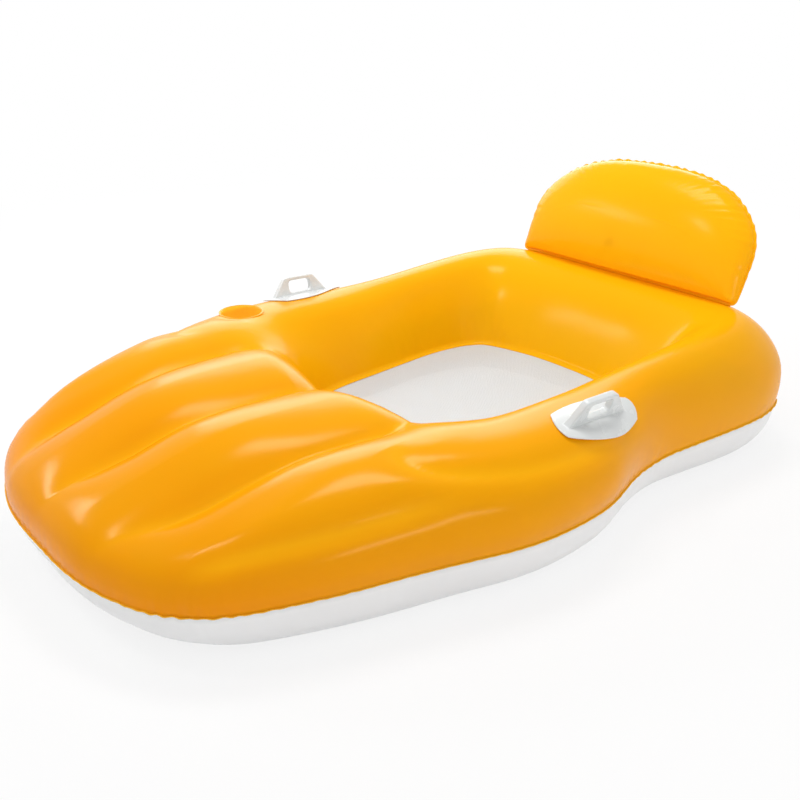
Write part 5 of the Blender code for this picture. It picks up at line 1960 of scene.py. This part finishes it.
@dataclass
class GrabHandle:
    """Moulded pad on an armrest's outer shoulder with an upright loop, in one piece."""

    ring: Ring
    station: float = 10.38
    row: float = 4.3
    pad_length: float = 0.214
    pad_width: float = 0.0927
    probe: float = 1.5
    seat: float = 1.6 * MM
    thickness: float = 2.6 * MM
    corner_share: float = 0.30
    end_share: float = 0.58
    end_power: float = 2.2
    turn_share: float = 0.50
    loop_foot: float = 0.150
    loop_top: float = 0.078
    loop_height: float = 0.046
    loop_thickness: float = 0.016
    loop_bar: float = 0.0085
    loop_window: float = 0.060
    loop_sill: float = 0.010
    loop_corner: float = 0.007
    loop_window_corner: float = 0.009
    loop_ahead: float = 0.026
    loop_above: float = 0.0105
    loop_turn: float = math.radians(8)
    loop_edge: float = 3.2 * MM
    pad_cells: tuple[int, int] = (64, 28)
    skirt_cells: tuple[int, int] = (48, 8)
    skirt_more: float = 6 * MM
    skirt_inset: float = 0.4 * MM
    skirt_below: float = 0.5 * MM
    skirt_least: float = 0.6 * MM
    tree_stations: tuple[float, float, int] = (8, 13, 80)
    tree_rows: tuple[float, float, int] = (2, 8, 60)
    voxel: float = 1.0 * MM
    smooth_factor: float = 0.5
    smooth_rounds: int = 4

    def scale(self) -> Array:
        """Stations and rows of the armrest in one metre along and across the pad."""
        steps = np.array([-self.probe, self.probe])
        lines = self.ring.at(self.station + steps, self.row), self.ring.at(
            self.station, self.row + steps)
        return self.probe * 2 / np.array([np.linalg.norm(line[1] - line[0]) for line in lines])

    def pad(self) -> Mesh:
        """Closed curved plate on the armrest."""
        half_stations, half_rows = self.scale() * (self.pad_length / 2, self.pad_width / 2)
        a, b = np.meshgrid(
            *(np.linspace(-1, 1, cells + 1) for cells in self.pad_cells), indexing="ij")
        drawn_in = np.sqrt(1 - self.corner_share * b * b / 2)
        width = 1 - (1 - self.end_share) * np.abs(a) ** self.end_power
        stations = self.station + half_stations * a * drawn_in
        rows = self.row + half_rows * (b * width - self.turn_share * a)
        normals = self.ring.normal(stations, rows)
        under = self.ring.at(stations, rows) + normals * self.seat
        return slab_mesh("pad", under, under + normals * self.thickness)

    def loop(self) -> Mesh:
        """Upright frame in its own XY plane, X along the armrest and Y up."""
        foot, top = self.loop_foot / 2, self.loop_top / 2
        slope = (foot - top) / self.loop_height
        low = self.seat + self.thickness / 2
        foot -= slope * low
        outer = [(-foot, low), (foot, low), (top, self.loop_height), (-top, self.loop_height)]
        sill, lintel = self.loop_sill, self.loop_height - self.loop_bar
        side = self.loop_window / 2
        window = [(-side, sill), (-side, lintel), (side, lintel), (side, sill)]
        curve = bpy.data.curves.new("loop", "CURVE")
        curve.dimensions = "2D"
        curve.fill_mode = "BOTH"
        curve.extrude = self.loop_thickness / 2 - self.loop_edge
        curve.bevel_depth = self.loop_edge
        curve.bevel_resolution = 3
        curve.offset = -self.loop_edge
        for outline, radius in ((outer, self.loop_corner), (window, self.loop_window_corner)):
            points = rounded_profile(outline, radius, looped=True)
            spline = curve.splines.new("POLY")
            spline.points.add(len(points) - 1)
            for point, (x, y) in zip(spline.points, points):
                point.co = (x, y, 0, 1)
            spline.use_cyclic_u = True
        made = settled(new_object("loop", curve))
        mesh = made.data
        tidy_mesh(mesh, 10 * MERGE)
        face_out(mesh)
        bpy.data.objects.remove(made)
        return mesh

    def build(self, side: Side, plastic: Material) -> None:
        """Make one handle.

        Args:
            side: which armrest it is on.
            plastic: its material.
        """
        shift = self.scale() * (-self.loop_ahead, self.loop_above)
        station, row = shift + (self.station, self.row)
        foot, upward = self.ring.at(station, row), self.ring.normal(station, row)
        along = self.ring.run(station, row)
        along = along / np.linalg.norm(along)
        upward = upward - along * (upward @ along)
        upward = upward / np.linalg.norm(upward)
        out = np.cross(along, upward)
        along = along * math.cos(self.loop_turn) + out * math.sin(self.loop_turn)
        turn = Matrix((along, upward, np.cross(along, upward))).transposed().to_4x4()
        frame_mesh = self.loop()
        frame_mesh.transform(Matrix.Translation(foot) @ turn)
        name = "grab_handle_" + side.name.lower()
        mesh = bpy.data.meshes.new(name)
        with edited(mesh) as shell:
            for part in (self.pad(), frame_mesh, self.skirt(foot, along, upward)):
                shell.from_mesh(part)
        made = new_object(name, mesh)
        remesh = made.modifiers.new("moulded", "REMESH")
        remesh.mode = "VOXEL"
        remesh.voxel_size = self.voxel
        soft = made.modifiers.new("soft", "SMOOTH")
        soft.factor = self.smooth_factor
        soft.iterations = self.smooth_rounds
        made = settled(made)
        if side is Side.LEFT:
            made.data.transform(Matrix.Scale(-1, 4, Vector((1, 0, 0))))
            face_out(made.data)
        made.data.shade_smooth()
        body = "handle_" + side.name.lower()
        finish_piece(made, "float", plastic, "white_plastic", body)

    def skirt(self, foot: Array, along: Array, upward: Array) -> Mesh:
        """Wedge that fills between the straight loop's foot and the curved pad.

        Args:
            foot: middle of the loop's foot.
            along: direction of the loop.
            upward: its upright.

        Returns:
            The wedge's mesh.
        """
        out = np.cross(along, upward)
        tree = self.tree()
        slope = (self.loop_foot - self.loop_top) / 2 / self.loop_height
        reach = self.loop_foot / 2 + slope * self.skirt_more
        half = self.loop_thickness / 2 - self.skirt_inset
        columns, rows = self.skirt_cells
        under, upper = np.zeros((columns, rows, 3)), np.zeros((columns, rows, 3))
        for i, x in enumerate(np.linspace(-reach, reach, columns)):
            top = (self.loop_foot / 2 - abs(x)) / slope
            top = min(self.loop_sill - self.skirt_below, top)
            for j, t in enumerate(np.linspace(-1, 1, rows)):
                place = foot + along * x + out * t * half
                hit = tree.ray_cast(Vector(place + upward * self.loop_height), Vector(-upward))[0]
                low = ((np.array(hit) if hit is not None else place) - place) @ upward
                low += self.seat + self.skirt_inset
                under[i, j] = place + upward * low
                upper[i, j] = place + upward * max(top, low + self.skirt_least)
        return slab_mesh("skirt", under, upper)

    def tree(self) -> BVHTree:
        """Search tree of the armrest round the handle."""
        stations, rows = np.meshgrid(
            np.linspace(*self.tree_stations), np.linspace(*self.tree_rows), indexing="ij")
        return search_tree(self.ring.at(stations, rows), False)


@dataclass
class AirValve:
    """Soft valve: welded flange with a collar, a stem that pushes in, a flap and a plug."""

    prefix: str
    place: tuple[float, float, float]
    axis: tuple[float, float, float]
    bodies: tuple[str, str, str, str]
    across: tuple[float, float, float] = (1.0, 0.0, 0.0)
    hole: float = 6.8 * MM
    level: tuple[float, float] = (16 * MM, 45 * MM)
    flange_radius: float = 14 * MM
    flange_thickness: float = 1.2 * MM
    collar_radius: float = 7.8 * MM
    collar_height: float = 3.5 * MM
    stem_radius: float = 5.5 * MM
    stem_bore: float = 4.0 * MM
    stem_height: float = 14 * MM
    stem_foot: float = 8 * MM
    lip: float = 1.0 * MM
    plug_radius: float = 6.4 * MM
    plug_height: float = 2.2 * MM
    shank_length: float = 6 * MM
    tab_length: float = 10 * MM
    tab_width: float = 5 * MM
    tab_thickness: float = 1.4 * MM
    tab_corner: float = 2 * MM
    tab_lap_share: float = 0.25
    flap_thickness: float = 0.8 * MM
    gap: float = 0.3 * MM
    edge_share: float = 0.7
    soft_edge: float = 0.5 * MM
    lip_edge: float = 0.3 * MM
    flap_edge: float = 0.25 * MM
    sides: int = 64
    plug_sides: int = 48
    crease_angle: float = math.radians(40)

    def seat(self) -> Matrix:
        """Where the valve's own frame lies: Z out of the sheet and X along the plug's tab."""
        up, across = Vector(self.axis).normalized(), Vector(self.across)
        across = (across - up * across.dot(up)).normalized()
        turn = Matrix((across, up.cross(across), up)).transposed()
        return Matrix.Translation(Vector(self.place)) @ turn.to_4x4()

    def add(
        self, mesh: Mesh, part: str, body: str, vinyl: Material, lift: float
    ) -> None:
        """Place one of the valve's pieces.

        Args:
            mesh: its mesh in the valve's own frame.
            part: its name after the valve's.
            body: the body that it moves with.
            vinyl: its material.
            lift: how far it stands out of the sheet.
        """
        mesh.transform(self.seat() @ Matrix.Translation((0, 0, lift)))
        face_out(mesh)
        made = new_object(f"{self.prefix}_{part}_soft", mesh)
        finish_piece(made, body, vinyl, "valve_vinyl", f"{self.prefix}_{part}")

    def build(self, vinyl: Material) -> None:
        """Make the four pieces."""
        bore = self.stem_radius + self.gap
        flange = rounded_profile([
            (self.flange_radius, self.flange_thickness * self.edge_share),
            (self.flange_radius, 0), (bore, 0), (bore, self.collar_height),
            (self.collar_radius, self.collar_height),
            (self.collar_radius, self.flange_thickness)], self.soft_edge, looped=True)
        lipped = self.stem_radius + self.lip
        stem = rounded_profile([
            (self.stem_radius, self.stem_height), (self.stem_radius, self.lip - self.stem_foot),
            (lipped, self.lip / 2 - self.stem_foot), (lipped, -self.stem_foot),
            (self.stem_bore, -self.stem_foot), (self.stem_bore, self.stem_height)],
            self.lip_edge, looped=True)
        flap = rounded_profile([
            (0.0, 0.0), (self.stem_radius, 0.0), (self.stem_radius, -self.flap_thickness),
            (0.0, -self.flap_thickness)], self.flap_edge, looped=False)
        pieces = (
            ("flange", turned_mesh("flange", flange, self.sides, True), 0.0),
            ("stem", turned_mesh("stem", stem, self.sides, True), 0.0),
            ("flap", turned_mesh("flap", flap, self.sides, False), -self.stem_foot - self.gap),
            ("plug", self.plug(), self.stem_height + self.gap))
        for (part, mesh, lift), body in zip(pieces, self.bodies):
            self.add(mesh, part, body, vinyl, lift)

    def plug(self) -> Mesh:
        """Plug with its shank and pull tab, as one body."""
        shank = self.stem_bore - self.gap
        outline = rounded_profile([
            (0.0, self.plug_height), (self.plug_radius, self.plug_height), (self.plug_radius, 0),
            (shank, 0), (shank, -self.shank_length), (0.0, -self.shank_length)],
            self.soft_edge, looped=False)
        head = new_object("plug_head", turned_mesh("plug_head", outline, self.plug_sides, False))
        size = Matrix.Diagonal((self.tab_length, self.tab_width, self.tab_thickness, 1))
        tab_mesh = bpy.data.meshes.new("plug_tab")
        with edited(tab_mesh) as box:
            bmesh.ops.create_cube(box, size=1, matrix=size)
            half = self.tab_thickness / 2
            upright = [e for e in box.edges if abs((e.verts[0].co - e.verts[1].co).z) > half]
            bmesh.ops.bevel(
                box, geom=upright, offset=self.tab_corner, segments=5, affect="EDGES", profile=0.5)
        shift = (self.plug_radius + self.tab_length * self.tab_lap_share, 0, self.plug_height / 2)
        tab_mesh.transform(Matrix.Translation(shift))
        tab = new_object("plug_tab", tab_mesh)
        join = head.modifiers.new("join", "BOOLEAN")
        join.operation = "UNION"
        join.object = tab
        made = settled(head)
        mesh = made.data
        bpy.data.objects.remove(made)
        bpy.data.objects.remove(tab)
        mesh.shade_smooth()
        mesh.set_sharp_from_angle(angle=self.crease_angle)
        return mesh


def toward(azimuth: float, elevation: float) -> Vector:
    """Unit vector at degrees from the nose towards +X and above the floor."""
    a, e = math.radians(azimuth), math.radians(elevation)
    return Vector((math.sin(a) * math.cos(e), -math.cos(a) * math.cos(e), math.sin(e)))


@dataclass(frozen=True)
class SoftLight:
    """Soft rectangular light that faces the object, placed by degrees as `toward` has them."""

    name: str
    azimuth: float
    elevation: float
    distance: float
    size: tuple[float, float]
    power: float

    def build(self, height: float) -> None:
        """Add it, facing the object's middle at a height."""
        data = bpy.data.lights.new(self.name, "AREA")
        data.shape = "RECTANGLE"
        data.size, data.size_y = self.size
        data.energy = self.power
        back = toward(self.azimuth, self.elevation)
        made = new_object(self.name, data)
        made.location = back * self.distance + Vector((0, 0, height))
        made.rotation_mode = "QUATERNION"
        made.rotation_quaternion = (-back).to_track_quat("-Z", "Y")
        made.visible_camera = False


@dataclass
class Studio:
    """Pale floor, soft lights and the camera."""

    azimuth: float = 50.749
    elevation: float = 23.580
    distance: float = 2.0714
    target_height: float = 0.15
    target_right: float = -0.0214
    target_up: float = -0.0151
    focal: float = 999.13
    frame: int = 800
    sensor: float = 36.0
    clip: tuple[float, float] = (0.05, 60.0)
    floor_size: float = 40.0
    floor_drop: float = 0.5 * MM
    floor_greys: tuple[float, float] = (0.86, 0.90)
    shadow_radius: float = 1.3
    shadow_fade: float = 0.6
    shadow_floor: float = 0.80
    ambient: float = 0.61
    ceiling: float = 0.36
    ceiling_start: float = 0.25
    ceiling_fade: float = 2.5
    lights: tuple[SoftLight, ...] = (
        SoftLight("overhead", -140.0, 78.0, 2.4, (1.1, 0.6), 26.0),
        SoftLight("left_softbox", -56.0, 32.0, 3.0, (0.9, 0.26), 11.0),
        SoftLight("front_spot", -20.0, 56.0, 3.0, (0.36, 0.28), 9.0),
        SoftLight("back_panel", -130.0, 22.0, 3.2, (3.5, 1.4), 42.0),
        SoftLight("right_fill", 85.0, 8.0, 3.0, (0.8, 0.3), 9.0),
    )

    def camera(self) -> None:
        """Place the camera at the photographed angle."""
        back = toward(self.azimuth, self.elevation)
        right = toward(self.azimuth + 90, 0)
        up = back.cross(right)
        target = Vector((0, 0, self.target_height))
        target += right * self.target_right + up * self.target_up
        data = bpy.data.cameras.new("camera")
        data.sensor_width = self.sensor
        data.lens = self.focal / self.frame * self.sensor
        data.clip_start, data.clip_end = self.clip
        made = new_object("camera", data)
        turn = Matrix((right, up, back)).transposed().to_4x4()
        made.matrix_world = Matrix.Translation(target + back * self.distance) @ turn
        bpy.context.scene.camera = made

    def floor(self) -> None:
        """Pale floor that looks white to the camera but keeps the shadow."""
        half, z = self.floor_size / 2, -self.floor_drop
        plane = [(-half, -half, z), (half, -half, z), (half, half, z), (-half, half, z)]
        mesh = new_mesh("studio_floor", np.array(plane), [(0, 1, 2, 3)])
        material = bpy.data.materials.new("pale_floor")
        graph = Graph.of(material)
        colour = graph.mixed(graph.noise(3.0, 3.0), *((grey,) * 3 for grey in self.floor_greys))
        matt = graph.node("ShaderNodeBsdfDiffuse", None, {"Color": colour})
        white = graph.node("ShaderNodeEmission", None, {"Color": (1, 1, 1, 1), "Strength": 1.0})
        length = {"operation": "LENGTH"}
        away = graph.node("ShaderNodeVectorMath", length, {0: graph.place()}, "Value")
        far = ((away - self.shadow_radius) * self.shadow_fade).clamped()
        share = graph.seen_rays() * (far * (1 - self.shadow_floor) + self.shadow_floor)
        graph.close(graph.layered(share, matt, white))
        mesh.materials.append(material)
        new_object("studio_floor", mesh)

    def world(self) -> None:
        """Pale surroundings for the camera, white at the horizon, and softer light."""
        world = bpy.data.worlds.new("studio_world")
        graph = Graph.of(world)
        height = graph.part(graph.node("ShaderNodeTexCoord", output="Generated"), "Z")
        high = ((height - self.ceiling_start) * self.ceiling_fade).clamped()
        ceiling = graph.mixed(high, (1.0,) * 3, (self.ceiling,) * 3)
        soft, white = (
            graph.node("ShaderNodeBackground", None, {"Color": colour, "Strength": strength})
            for colour, strength in (((1, 1, 1, 1), self.ambient), (ceiling, 1.0)))
        graph.close(graph.layered(graph.seen_rays(), soft, white), "World")
        bpy.context.scene.world = world

    def build(self) -> None:
        """Set the whole stage."""
        self.camera()
        self.floor()
        self.world()
        for light in self.lights:
            light.build(self.target_height)
        bpy.context.scene.view_settings.view_transform = "Standard"


def dress_webs(film: Material) -> None:
    """Give the strips inside the ring's sides their film."""
    for name, node in frame["nodes"].items():
        if name.startswith(("web_arm", "web_side")):
            node.material_slots[0].material = film


def corners(box: tuple[Vector, Vector]) -> list[list[float]]:
    """A box's two corners as plain lists."""
    return [list(corner) for corner in box]


def main() -> None:
    """Build every piece in order."""
    logging.basicConfig(level=logging.INFO, format="%(message)s")
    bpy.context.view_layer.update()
    Studio().build()
    film = FilmVinyl().material()
    # Painted light: the cup's liner and the outer weld bead get a paler film that glows all over,
    # which lifts them out of the shade where they lie.
    liner = FilmVinyl(
        name="cup_film", deep=(1.0, 0.68, 0.05), light=(1.0, 0.76, 0.07),
        plain_glow_share=1.0).material()
    white = SatinVinyl().material()
    plastic = MouldedPlastic().material()
    yarn = NetYarn().material()
    soft_white = MouldedPlastic(name="soft_valve", roughness=0.36).material()
    ring = Ring()
    sheets = FloatSheets(ring)
    main_valve = AirValve(
        "main_valve", (-0.457286, 0.602409, 0.194801), (-0.914177, 0.233604, 0.331223),
        ("float", "main_stem", "main_flap", "main_plug"), (0.372217, 0.160421, 0.914177))
    rear_valve = AirValve(
        "backrest_valve", (-0.102371, 0.728049, 0.330803), (0.0, 0.752607, -0.658469),
        ("backrest", "backrest_stem", "backrest_flap", "backrest_plug"))
    tree = search_tree(sheets.build(film, white, main_valve), True)
    # The bead takes the liner's glowing film: painted light.
    WeldSeam(sheets).build(liner)
    SeatNet(ring).build(yarn)
    CupWell(sheets).build(liner, film)
    Backrest().build(film, rear_valve, tree)
    handle = GrabHandle(ring)
    for side in Side:
        handle.build(side, plastic)
    for valve in (main_valve, rear_valve):
        valve.build(soft_white)
    NoseWebs(sheets).build(film, tree)
    dress_webs(film)


if __name__ == "__main__":
    main()
